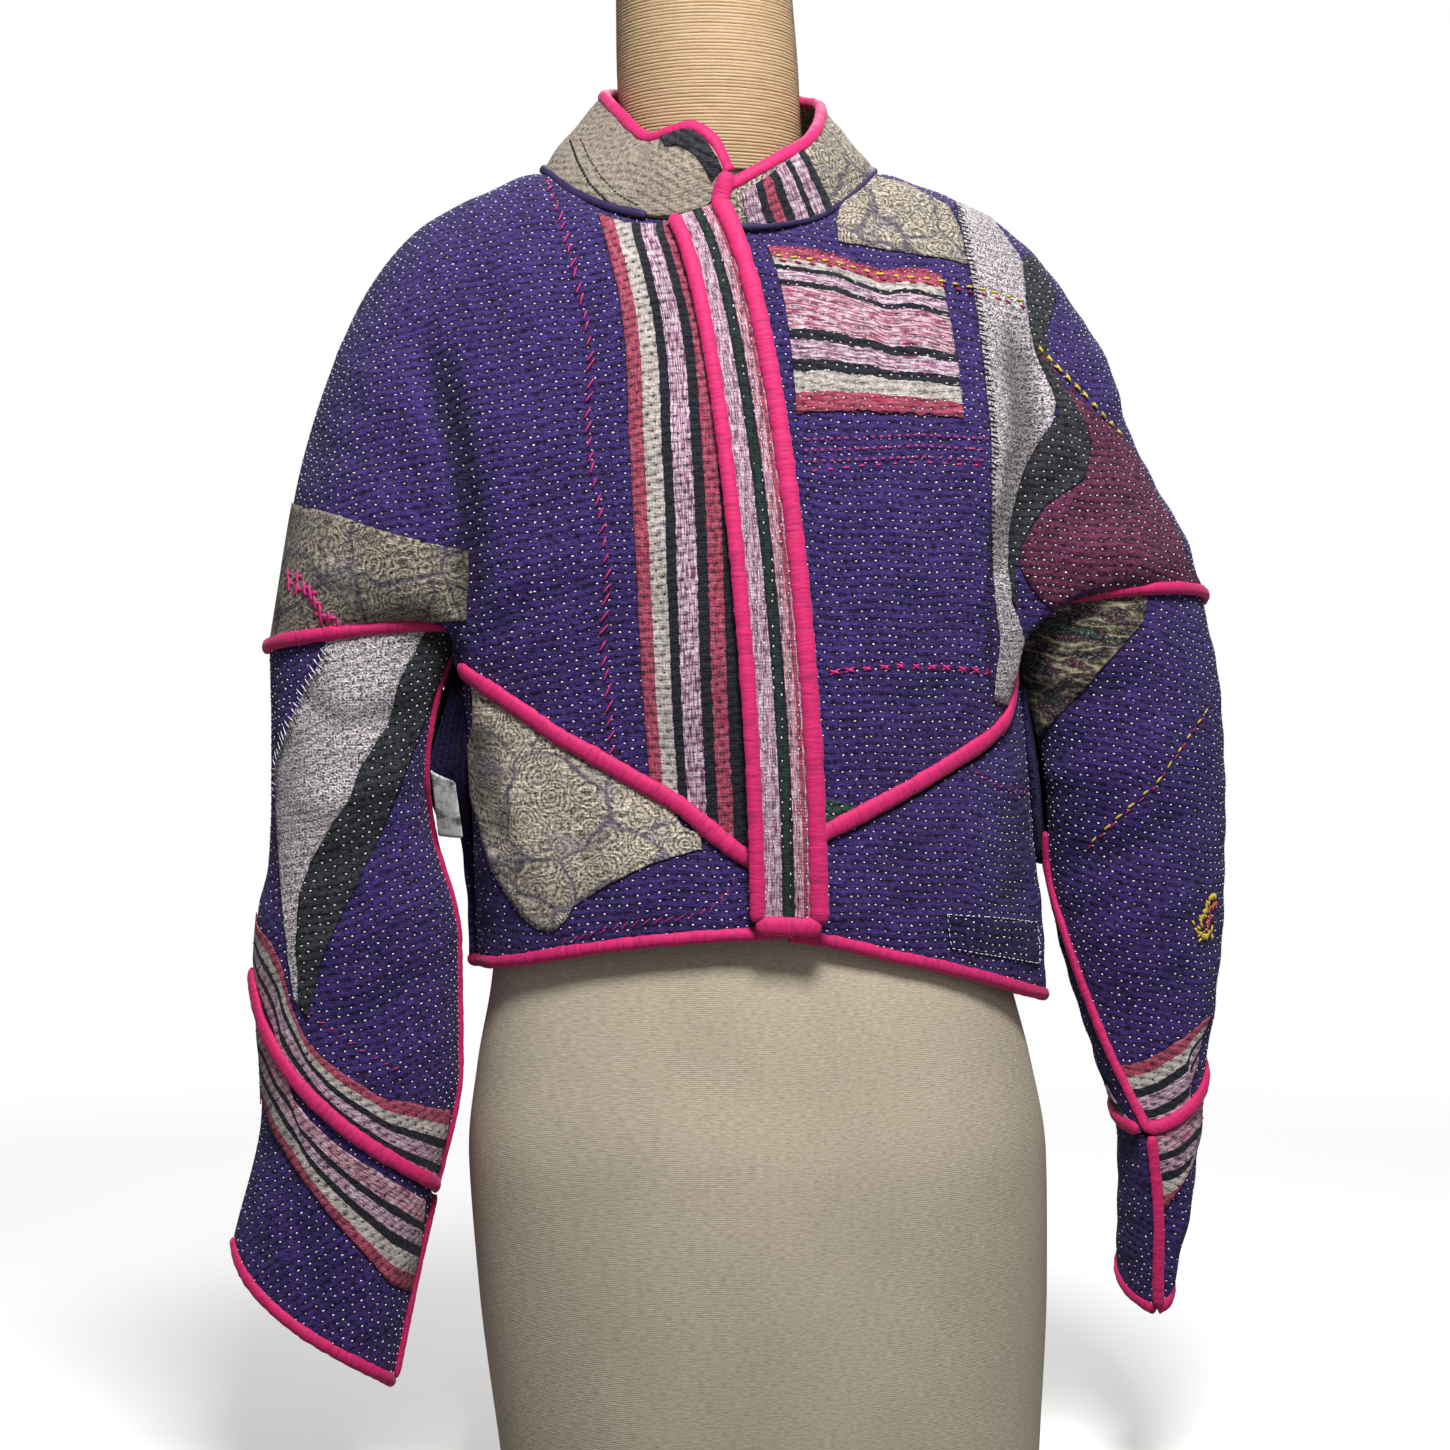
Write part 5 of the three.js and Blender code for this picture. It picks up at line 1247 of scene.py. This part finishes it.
# Decorative rows, each along a line in the front view
stitchRows = {
    "zigzag_stitches": dict(on="front_right", colour="pink", pitch=0.0092, long=0.0108, wide=0.0015,
        slant=-32, high=0.0011,
        line=[(546, 180), (564, 229), (576, 275), (587, 321), (592, 367), (587, 424), (594, 482),
            (602, 520), (608, 576), (602, 646), (608, 688), (612, 758)]),
    **{f"red_row_{k}": dict(on="front_left", colour="magenta", pitch=0.0056, long=0.0040, wide=0.0026,
        lift=0.0004,
        line=[(802, y + 2), (860, y), (920, y - 3), (988, y + 1)]) for k, y in enumerate((438, 449, 460))},
    "magenta_row": dict(on="front_left", colour="pink", pitch=0.011, long=0.0048, wide=0.0016, lift=0.0004,
        line=[(804, 472), (860, 466), (920, 462), (986, 466)]),
    "cross_row": dict(on="front_left", colour="pink", pitch=0.0112, long=0.0088, wide=0.0018, slant=24,
        cross=True, lift=0.0004, high=0.0012,
        line=[(806, 676), (850, 670), (900, 666), (950, 668), (990, 672)]),
    "shoulder_yellow": dict(on="front_left", colour="yellow", pitch=0.010, long=0.0062, wide=0.0020,
        slant=6, lift=0.0016, high=0.0014,
        line=[(772, 256), (830, 262), (880, 276), (930, 280), (985, 291), (1022, 302)]),
    "shoulder_red": dict(on="front_left", colour="red", pitch=0.010, long=0.0052, wide=0.0018, slant=-10,
        lift=0.0016, high=0.0014,
        line=[(775, 261), (833, 267), (883, 281), (933, 285), (988, 297), (1024, 308)]),
    "arm_yellow": dict(on="front_left", colour="yellow", pitch=0.0085, long=0.0070, wide=0.0022, slant=20,
        cross=True, lift=0.0014, high=0.0016,
        line=[(1036, 346), (1060, 372), (1090, 402), (1122, 438)]),
    "arm_red": dict(on="front_left", colour="red", pitch=0.009, long=0.005, wide=0.0012, slant=8, lift=0.0014,
        line=[(1040, 356), (1062, 382), (1090, 410), (1120, 444)]),
    "hem_pink": dict(on="front_right_lower", colour="pink", pitch=0.007, long=0.0085, wide=0.0008,
        slant=34, lift=0.0006,
        line=[(560, 944), (600, 931), (645, 922), (690, 917), (714, 908), (729, 892), (735, 878)]),
    "side_pink": dict(on="front_left_lower", colour="pink", pitch=0.008, long=0.005, wide=0.001, slant=30,
        lift=0.0006,
        line=[(972, 770), (990, 782), (1010, 790), (1024, 792)]),
    "collar_line": dict(on="collar_right", colour="black", pitch=0.0030, long=0.0036, wide=0.0018,
        lift=0.0002,
        line=[(570, 140), (578, 162), (590, 184), (608, 202), (632, 214)]),
    "collar_line_inner": dict(on="collar_right", colour="black", pitch=0.0034, long=0.0034, wide=0.0009,
        lift=0.0002,
        line=[(580, 138), (590, 160), (602, 178), (620, 196), (640, 206)]),
    "mended_edge": dict(on="front_left_lower", colour="white", pitch=0.0046, long=0.0034, wide=0.0007,
        lift=0.0015,
        line=[(946, 914), (990, 917), (1036, 922), (1038, 963), (990, 955), (950, 948), (946, 914)]),
    "sleeve_crosses": dict(on="front_right", colour="pink", pitch=0.0060, long=0.0130, wide=0.0030,
        slant=45, cross=True, lift=0.0016, wander=0.003, high=0.0016,
        line=[(290, 572), (300, 592), (318, 610), (336, 628)]),
    "sleeve_flower": dict(on="sleeve_left_front", colour="yellow", pitch=0.0016, long=0.0052, wide=0.0022,
        slant=60, lift=0.0006, wander=0.0018, high=0.0018,
        line=[(1215, 896), (1206, 904), (1203, 916), (1198, 926), (1197, 936), (1204, 938), (1212, 930)]),
    "sleeve_flower_heart": dict(on="sleeve_left_front", colour="salmon", pitch=0.0020, long=0.0046,
        wide=0.0020, slant=60, lift=0.0008, wander=0.0016, high=0.0018,
        line=[(1215, 902), (1210, 910), (1207, 922), (1206, 930)]),
    "sleeve_pink": dict(on="sleeve_right_front", colour="pink", pitch=0.008, long=0.007, wide=0.0007,
        slant=40, lift=0.0006,
        line=[(305, 1010), (340, 1036), (370, 1056), (402, 1072)]),
    "sleeve_yellow": dict(on="sleeve_left_front", colour="yellow", pitch=0.012, long=0.0062, wide=0.0016,
        slant=0, lift=0.0006,
        line=[(1209, 706), (1158, 781), (1118, 817), (1085, 848)]),
    "sleeve_red": dict(on="sleeve_left_front", colour="red", pitch=0.012, long=0.006, wide=0.0014, slant=0,
        lift=0.0006,
        line=[(1206, 712), (1155, 787), (1115, 823), (1082, 854)]),
    "whip_left": dict(on="front_left", colour="black", pitch=0.0034, long=0.0072, wide=0.0010, slant=82,
        lift=0.0016, wander=0.0008,
        line=[(957, 207), (964, 237), (970, 264), (980, 320), (987, 380), (993, 440), (991, 520),
            (987, 590), (990, 690)]),
    "whip_right": dict(on="sleeve_right_front", colour="black", pitch=0.0044, long=0.0095, wide=0.0007,
        slant=80, lift=0.0016, wander=0.0008,
        line=[(330, 650), (308, 689), (286, 742), (279, 764), (279, 800)]),
    "whip_right_white": dict(on="sleeve_right_front", colour="white", pitch=0.0044, long=0.0085,
        wide=0.0007, slant=76, lift=0.0018, wander=0.0008,
        line=[(328, 650), (305, 689), (283, 742), (276, 764), (276, 800)]),
    "chest_edge_top": dict(on="front_left", colour="red", pitch=0.0042, long=0.0036, wide=0.0008, slant=30,
        lift=0.0016,
        line=[(768, 247), (800, 249), (827, 254), (853, 263), (879, 272), (909, 269), (938, 276)]),
    "chest_edge_side": dict(on="front_left", colour="white", pitch=0.006, long=0.005, wide=0.0005,
        slant=84, lift=0.0016, wander=0.001,
        line=[(940, 278), (943, 314), (950, 362), (957, 390), (962, 416)]),
}
for name, row in stitchRows.items():
    sewLine(name, **row)
print("embroidery sewn")


# Bindings: gathered strips rolled over the seams and edges
rolling = {"step": 0.0022, "fewest": 16, "sides": 14, "gather": 0.035, "wander": 0.00006, "evened": 15,
           "tips": ((0, 0.55), (1, 0.88))}


def rollObject(name, points, normals, wide, high, lift, finish="pinkBinding", nodes=(), ends=True):
    run = runOf(points)
    count, sides = max(int(run[-1] / rolling["step"]), rolling["fewest"]), rolling["sides"]
    at = np.linspace(0, run[-1], count)
    points, normals = atRun(at, run, points), unit(atRun(at, run, normals))
    for _ in range(2):
        points[1:-1] = (points[:-2] + 2 * points[1:-1] + points[2:]) / 4
        normals[1:-1] = unit(normals[:-2] + 2 * normals[1:-1] + normals[2:])
    ahead = unit(np.gradient(points, axis=0))
    side = unit(np.cross(ahead, normals))
    up = np.cross(side, ahead)
    gather = rng.normal(0, 1, count)
    gather = (gather + 0.6 * np.roll(gather, 1)) * rolling["gather"]
    drift = np.cumsum(rng.normal(0, 1, count))
    evened = np.convolve(drift, np.ones(rolling["evened"]) / rolling["evened"], "same")
    drift = (drift - evened) * rolling["wander"]
    size = 1 + gather
    if ends:
        for place, share in rolling["tips"]:
            size[[place, -1 - place]] *= share
    turn = np.linspace(0, fullTurn, sides, endpoint=False)
    centre = points + up * lift + side * drift[:, None]
    across = side[:, None] * np.cos(turn)[None, :, None] * wide / 2
    above = up[:, None] * np.sin(turn)[None, :, None] * high / 2
    ring = centre[:, None] + (across + above) * size[:, None, None]
    verts = np.concatenate([ring.reshape(-1, 3), centre[[0, -1]]])
    ids = np.arange(count * sides).reshape(count, sides)
    nxt = np.roll(ids, -1, 1)
    faces = np.stack([ids[:-1], nxt[:-1], nxt[1:], ids[1:]], -1).reshape(-1, 4).tolist()
    faces += np.stack([nxt[0], ids[0], np.full(sides, count * sides)], -1).tolist()
    faces += np.stack([ids[-1], nxt[-1], np.full(sides, count * sides + 1)], -1).tolist()
    uv = np.stack(np.broadcast_arrays(at[:, None], turn[None] / fullTurn), -1).reshape(-1, 2)
    maps = {"roll": np.concatenate([uv, np.zeros((2, 2))])}
    obj = meshObject(name, verts, facedOut(faces, verts, centre[0]), maps)
    return finishPiece(obj, finishes[finish], nodes)


def panelEdge(on, edge, start=0.0, stop=1.0, inset=0.0, count=120):
    panel = panels[on]
    ni, nj = panel["outer"].shape[:2]
    share = np.linspace(start, stop, count)
    across = panel["outer"][:, nj // 2] if edge[0] == "u" else panel["outer"][ni // 2]
    far = inset / np.linalg.norm(np.diff(across, axis=0), axis=1).mean()
    top = (ni if edge[0] == "u" else nj) - 1
    held = np.full(count, far if edge[1] == "0" else top - far)
    i, j = (held, share * (nj - 1)) if edge[0] == "u" else (share * (ni - 1), held)
    return sampleGrid(panel["outer"], i, j), unit(sampleGrid(panel["normal"], i, j))


# inset moves a roll in from the edge; lift, sink and out move it up, into the cloth and past the edge
def bindEdge(name, on, edge, wide, high, start=0.0, stop=1.0, inset=0.0, count=120, lift=0.0, sink=0.0,
             out=0.0, **look):
    points, normals = panelEdge(on, edge, start, stop, inset, count)
    if out:
        inward = panelEdge(on, edge, start, stop, 0.004, count)[0]
        points = points - normals * sink + unit(points - inward) * out
    panels[on]["with"].append(rollObject(name, points, normals, wide, high, lift, **look))


seams = {
    "binding_elbow_right": dict(on="front_right", edge="u0", wide=0.0092, high=0.0070, inset=0.0004),
    "binding_elbow_left": dict(on="front_left", edge="u0", wide=0.0086, high=0.0066, inset=0.0004),
    "binding_diagonal_right": dict(on="front_right", edge="v1", start=0.17, wide=0.0112, high=0.0062,
        inset=0.0045),
    "binding_diagonal_left": dict(on="front_left", edge="v1", start=0.04, stop=0.93, wide=0.0112,
        high=0.0062, inset=0.0045),
    "binding_elbow_right_back": dict(on="back_upper", edge="u0", wide=0.0092, high=0.0070, inset=0.0004),
    "binding_elbow_left_back": dict(on="back_upper", edge="u1", wide=0.0092, high=0.0070, inset=0.0004),
    "binding_diagonal_back": dict(on="back_upper", edge="v1", start=0.07, stop=0.93, wide=0.0112,
        high=0.0062, inset=0.0045),
    "binding_forearm_right": dict(on="sleeve_right_front", edge="u1", wide=0.0096, high=0.0056, inset=0.002),
    "binding_forearm_left": dict(on="sleeve_left_front", edge="u1", wide=0.0096, high=0.0056, inset=0.002),
    "binding_forearm_right_back": dict(on="sleeve_right_back", edge="u1", wide=0.0096, high=0.0056,
        inset=0.002),
    "binding_forearm_left_back": dict(on="sleeve_left_back", edge="u1", wide=0.0096, high=0.0056,
        inset=0.002),
    "binding_underarm_right": dict(on="sleeve_right_front", edge="v1", wide=0.0062, high=0.0048, inset=0.001),
    "binding_underarm_left": dict(on="sleeve_left_front", edge="v1", start=0.42, wide=0.0066, high=0.0048,
        inset=0.001),
    "binding_cuff_seam_right": dict(on="cuff_right_front", edge="v1", wide=0.0070, high=0.0050, inset=0.001),
    "binding_cuff_seam_left": dict(on="cuff_left_front", edge="v1", wide=0.0076, high=0.0050, inset=0.001),
}
for name, spec in seams.items():
    bindEdge(name + "_roll", **spec, lift=spec["high"] * 0.28, nodes=(name,))
edges = {
    "binding_hem_right": dict(on="front_right_lower", edge="v1", stop=0.95, wide=0.0088, high=0.0076),
    "binding_hem_left": dict(on="front_left_lower", edge="v1", stop=0.93, wide=0.0088, high=0.0076),
    "binding_hem_back": dict(on="back_lower", edge="v1", wide=0.0088, high=0.0076),
    "binding_cuff_right": dict(on="cuff_right_front", edge="u1", wide=0.0086, high=0.0070),
    "binding_cuff_left": dict(on="cuff_left_front", edge="u1", wide=0.0080, high=0.0066),
    "binding_cuff_right_back": dict(on="cuff_right_back", edge="u1", wide=0.0086, high=0.0070),
    "binding_cuff_left_back": dict(on="cuff_left_back", edge="u1", wide=0.0080, high=0.0066),
    "binding_collar_right": dict(on="collar_right", edge="v0", wide=0.0086, high=0.0074),
    "binding_collar_left": dict(on="collar_left", edge="v0", wide=0.0086, high=0.0074),
}
for name, spec in edges.items():
    bindEdge(name + "_roll", **spec, sink=quilting["thick"] / 2, out=0.0022, nodes=(name,), ends=False)
print("bindings rolled")

# The placket: a striped band over the centre edge, bound all round
placket = {
    "lift": 0.0042, "drop": 0.0042, "wall": 0.0015, "across": 24, "along": 230, "from": 0.02, "to": 0.992,
    "keep": 0.7, "outerWide": 0.0114, "innerWide": 0.0096, "footWide": 0.0115, "high": 0.0062,
}


def layPlacket():
    us = np.linspace(0, 1, placket["across"])
    vs = np.linspace(placket["from"], placket["to"], placket["along"])
    middle = surfaceAt(placketRows, *gridOf(us, vs))
    normal = gridNormals(middle, -1)
    points = middle + normal * placket["lift"]
    points[..., 2] -= placket["drop"] * vs ** 10
    flat = flatten(points)
    quilt = np.stack([flat[..., 1] / quilting["stitch"], flat[..., 0] / quilting["row"]], -1)
    band = np.stack(np.broadcast_arrays(runOf(points[placket["across"] // 2])[None], us[:, None]), -1)
    outer, inner = points + normal * placket["wall"], points - normal * placket["wall"]
    maps = {"flat": flat, "quilt": quilt, "band": band, "fold": np.full_like(flat, 0.5)}
    obj = shellObject("placket_cloth", outer, inner, maps)
    finishPiece(obj, finishes["placketStripes"], ("placket",))
    panel = {**maps, "obj": obj, "outer": outer, "normal": normal, "view": "front", "laid": [], "with": [],
             "size": np.ptp(flat.reshape(-1, 2), axis=0), "area": flatArea(flat)}
    panels["placket"] = panel
    quiltPanel("placket", keep=placket["keep"])
    for name, edge, wide in (("outer", "u1", placket["outerWide"]), ("inner", "u0", placket["innerWide"])):
        line, up = panelEdge("placket", edge, 0.0, 0.995, 0.001, 200)
        if edge == "u1":  # the outer roll runs on up the collar
            collarLine, collarUp = panelEdge("collar_right", "u0", 0.0, 0.9, 0.0, 14)
            line, up = np.concatenate([collarLine + collarUp * 0.001, line]), np.concatenate([collarUp, up])
        node = "binding_placket_" + name
        roll = rollObject(node + "_roll", line, up, wide, placket["high"], 0.0006, nodes=(node,))
        panel["with"].append(roll)
    bindEdge("binding_placket_foot_roll", "placket", "v1", placket["footWide"], placket["high"], count=40,
             lift=0.0004, nodes=("binding_placket_foot",))


layPlacket()
trims = {
    "collar_roll_right": dict(on="collar_right", edge="v1", start=0.30, wide=0.0060, high=0.0048,
        lift=0.0002, finish="purpleBinding"),
    "collar_roll_left": dict(on="collar_left", edge="v1", wide=0.0050, high=0.0040, lift=-0.0004,
        finish="purpleBinding"),
    "collar_back_roll": dict(on="collar_right", edge="u1", wide=0.0085, high=0.0052, lift=0.0006,
        out=0.0012, count=40),
    "fold_roll_right": dict(on="front_right", edge="v1", stop=0.17, wide=0.0062, high=0.0046, lift=-0.0004,
        finish="purpleBinding"),
}
for name, spec in trims.items():
    bindEdge(name, **spec)
print("placket and collar bound")

tab = {
    "rows": table([[-226.6, -29, 481, 0.3, 0, 3, -212, -36, 473, 0, 0, 3],
                   [-220.6, -12, 439, 0.3, 0, 0, -206, -24, 438, 0, 0, 0]]),
    "count": (24, 12), "bulge": 0.0012, "wall": 0.0004, "quiltScale": 40, "area": 0.00072,
}


def layTab():
    grid = gridOf(*(np.linspace(0, 1, n) for n in tab["count"]))
    middle = surfaceAt(tab["rows"], *grid)
    normal = gridNormals(middle, 1)
    if normal[tuple(n // 2 for n in tab["count"])][1] > 0:
        normal = -normal
    middle = middle + normal * (tab["bulge"] * np.sin(grid[1] * math.pi))[..., None]
    flat = flatten(middle)
    maps = {"flat": flat, "quilt": flat * tab["quiltScale"], "fold": np.full_like(flat, 0.5)}
    obj = shellObject("label_tab_cloth", middle + normal * tab["wall"], middle - normal * tab["wall"], maps)
    finishPiece(obj, finishes["tab"], ("label_tab",))


layTab()

# The dress form: rows of height, half width, half depth and the middle's place in depth, in millimetres
formShape = {
    "lean": -0.0474, "leanFrom": 0.036, "around": 96,
    "torso": [
        [0, 176, 116, 0], [47, 180, 120, -2], [140, 188, 126, -4], [228, 191, 127, -6], [290, 183, 119, -8],
        [340, 172, 112, -9], [390, 164, 104, -9], [460, 150, 96, -9], [530, 142, 92, -8], [620, 148, 96, -8],
        [700, 155, 96, -6], [750, 160, 86, -5], [795, 164, 74, -3], [822, 162, 60, -1], [840, 152, 36, -4],
        [852, 132, 28, -3], [860, 106, 34, -1], [864, 66, 48, 2],
    ],
    "neck": [[864, 61, 50, 2], [890, 60, 54, 2], [930, 60, 57, 2], [993, 58, 58, 2]],
    "cap": [[993, 57, 57, 2], [999, 55, 55, 2], [1003, 48, 48, 2], [1005, 36, 36, 2]],
}


def axisX(z):
    return formShape["lean"] * (z - formShape["leanFrom"])


def ovalStack(name, rows, steps, inset=0.0):
    values = between(np.array(rows, float) * mm, np.linspace(0, 1, steps))
    around = formShape["around"]
    angle = np.linspace(0, fullTurn, around, endpoint=False)
    z = values[:, 0]
    centre = np.where(z < 1e-6, 0, axisX(z))
    x = centre[:, None] + (values[:, 1] - inset)[:, None] * np.cos(angle)[None]
    y = values[:, 3][:, None] + (values[:, 2] - inset)[:, None] * np.sin(angle)[None]
    verts = np.stack([x, y, np.broadcast_to(z[:, None], x.shape)], -1).reshape(-1, 3)
    ids = np.arange(steps * around).reshape(steps, around)
    nxt = np.roll(ids, -1, 1)
    faces = np.stack([ids[:-1], nxt[:-1], nxt[1:], ids[1:]], -1).reshape(-1, 4).tolist()
    faces += [ids[0, ::-1].tolist(), ids[-1].tolist()]
    length = values[:, 1].mean() * fullTurn
    uv = np.stack(np.broadcast_arrays(angle[None] / fullTurn * length, z[:, None]), -1).reshape(-1, 2)
    obj = meshObject(name, verts, faces, {"flat": uv})
    for flatEnd in (-1, -2):
        obj.data.polygons[flatEnd].use_smooth = False
    return obj


def linenMaterial(name, level=False):
    material, tree, shader = newMaterial(name, 0.9)
    place = objectPlace(tree)
    x, y, z = (pull(tree, place, k) for k in range(3))
    angle, rise = (times(tree, x, 12.0), y) if level else (calc(tree, "ARCTAN2", y, x), z)
    warp = calc(tree, "SINE", times(tree, angle, 900.0))
    weft = calc(tree, "SINE", times(tree, rise, fullTurn / 0.0012))
    slub = noise(tree, joined(tree, times(tree, angle, 30.0), times(tree, rise, 900.0)), 1.0, 3.0)
    tone = ramp(tree, slub, [(0.3, "#A69A84"), (0.5, "#B9AD97"), (0.72, "#C8BDA9")])
    worn = ramp(tree, noise(tree, place, 9.0, 3.0), [(0.3, 0.9), (0.7, 1.06)])
    tree.links.new(tint(tree, 1.0, tone, worn, "MULTIPLY"), shader.inputs["Base Color"])
    setRelief(tree, shader, plus(tree, times(tree, plus(tree, warp, weft), 0.4), slub), 0.5, 0.0003)
    return material


def cordMaterial(name, deep, light):
    material, tree, shader = newMaterial(name, 0.6)
    along, around = (pull(tree, uvOf(tree, "roll"), k) for k in (0, 1))
    fibre = noise(tree, joined(tree, times(tree, along, 55.0), times(tree, around, 6.0)), 1.0, 3.0, 0.7)
    tree.links.new(ramp(tree, fibre, [(0.3, deep), (0.7, light)]), shader.inputs["Base Color"])
    setRelief(tree, shader, fibre, 0.6, 0.0004)
    return material


linen = linenMaterial("form linen")
finishPiece(ovalStack("form_torso_cover", formShape["torso"], 150), linen, ("form_torso",))
finishPiece(ovalStack("form_neck_core", formShape["neck"], 10, inset=0.0022), linen)
cord = {"pitch": 0.0021, "radius": 0.00155, "bottom": 0.8665, "top": 0.9918, "steps": 44, "sides": 7}


def windNeck():
    turns = int((cord["top"] - cord["bottom"]) / cord["pitch"])
    steps, sides, radius = turns * cord["steps"], cord["sides"], cord["radius"]
    t = np.linspace(0, 1, steps)
    z = cord["bottom"] + (cord["top"] - cord["bottom"]) * t
    neck = np.array(formShape["neck"], float) * mm
    values = between(neck, np.interp(z, neck[:, 0], np.linspace(0, 1, len(neck))))
    angle = fullTurn * turns * t
    uneven = 0.00012 * np.sin(angle * 0.37) + 0.00008 * np.sin(angle * 3.1)
    x = axisX(z) + (values[:, 1] - radius) * np.cos(angle)
    y = values[:, 3] + (values[:, 2] - radius) * np.sin(angle)
    path = np.stack([x, y, z + uneven], 1)
    ahead = unit(np.gradient(path, axis=0))
    out = unit(np.stack([np.cos(angle), np.sin(angle), np.zeros(steps)], 1))
    up = np.cross(ahead, out)
    turn = np.linspace(0, fullTurn, sides, endpoint=False)
    across = out[:, None] * np.cos(turn)[None, :, None] + up[:, None] * np.sin(turn)[None, :, None]
    verts = (path[:, None] + across * radius).reshape(-1, 3)
    ids = np.arange(steps * sides).reshape(steps, sides)
    nxt = np.roll(ids, -1, 1)
    faces = np.stack([ids[:-1], ids[1:], nxt[1:], nxt[:-1]], -1).reshape(-1, 4).tolist()
    faces += [ids[0].tolist(), ids[-1, ::-1].tolist()]
    uv = np.stack(np.broadcast_arrays(runOf(path)[:, None], turn[None] / fullTurn), -1).reshape(-1, 2)
    obj = meshObject("form_neck_winding", verts, facedOut(faces, verts, path[0]), {"roll": uv})
    finishPiece(obj, cordMaterial("wound cord", "#A4845F", "#C6AB89"), ("form_neck",))


windNeck()
cap = ovalStack("form_cap_top", formShape["cap"], 14)
finishPiece(cap, linenMaterial("cap linen", level=True), ("form_cap",))
print("form built")

# Stage, light and camera
stageSize = {"round": 12.0, "sides": 96, "near": 0.7, "far": 2.4, "white": 1.0}


def mixShaders(tree, share, first, second, output):
    mixed = addNode(tree, "ShaderNodeMixShader")
    for socket, value in zip(mixed.inputs, (share, first, second)):
        tree.links.new(value, socket)
    tree.links.new(mixed.outputs[0], tree.nodes[output].inputs["Surface"])


def setStage():
    turn = np.linspace(0, fullTurn, stageSize["sides"], endpoint=False)
    verts = np.stack([np.cos(turn), np.sin(turn), np.zeros_like(turn)], 1) * stageSize["round"]
    obj = meshObject("studio_floor", verts, [list(range(stageSize["sides"]))])
    material, tree, shader = newMaterial("pale floor", 0.9)
    place = objectPlace(tree)
    tone = ramp(tree, noise(tree, place, 1.3), [(0.3, "#F3F2F0"), (0.7, "#F8F7F6")])
    tree.links.new(tone, shader.inputs["Base Color"])
    length = addNode(tree, "ShaderNodeVectorMath", {"operation": "LENGTH"})
    tree.links.new(place, length.inputs[0])
    reach = addNode(tree, "ShaderNodeMapRange", {"interpolation_type": "SMOOTHSTEP"},
                    Value=length.outputs["Value"], From_Min=stageSize["near"], From_Max=stageSize["far"])
    glow = addNode(tree, "ShaderNodeEmission", Strength=stageSize["white"])
    mixShaders(tree, reach.outputs[0], shader.outputs[0], glow.outputs[0], "Material Output")
    obj.data.materials.append(material)
    obj.visible_diffuse = obj.visible_glossy = False


setStage()
lamps = {
    "key light": {"place": (-0.05, -1.25, 1.98), "aim": (0, 0, 0.75), "size": 0.5, "power": 52},
    "fill light": {"place": (2.0, -1.8, 1.4), "aim": (0, 0, 0.6), "size": 1.2, "power": 3},
    "back light": {"place": (0.5, 1.7, 2.3), "aim": (0, 0, 0.7), "size": 0.9, "power": 46},
}
for name, lamp in lamps.items():
    data = bpy.data.lights.new(name, "AREA")
    data.energy, data.size = lamp["power"], lamp["size"]
    obj = bpy.data.objects.new(name, data)
    bpy.context.scene.collection.objects.link(obj)
    obj.location = lamp["place"]
    away = np.array(lamp["aim"]) - np.array(lamp["place"])
    tilt = math.atan2(math.hypot(away[0], away[1]), -away[2])
    obj.rotation_euler = (tilt, 0, math.atan2(-away[0], away[1]))

studio = {"sky": (0.95, 0.96, 1.0, 1), "strength": 0.24, "seen": (1, 1, 1, 1)}


def setWorld():
    world = bpy.data.worlds.new("studio")
    world.use_nodes = True
    tree = world.node_tree
    sky = tree.nodes["Background"]
    sky.inputs["Color"].default_value = studio["sky"]
    sky.inputs["Strength"].default_value = studio["strength"]
    pale = addNode(tree, "ShaderNodeBackground", Color=studio["seen"], Strength=1.0)
    seen = addNode(tree, "ShaderNodeLightPath").outputs["Is Camera Ray"]
    mixShaders(tree, seen, sky.outputs[0], pale.outputs[0], "World Output")
    bpy.context.scene.world = world
    bpy.context.scene.view_settings.view_transform = "Standard"


def setCamera():
    lens = bpy.data.cameras.new("front camera")
    lens.sensor_width = frontView["sensor"]
    lens.lens = frontView["focal"] / frontView["across"] * frontView["sensor"]
    viewer = bpy.data.objects.new("front camera", lens)
    bpy.context.scene.collection.objects.link(viewer)
    viewer.location = frontView["place"]
    viewer.rotation_euler = (math.pi / 2, 0, -math.atan2(frontView["forward"][0], frontView["forward"][1]))
    bpy.context.scene.camera = viewer


setWorld()
setCamera()
print("stage set")
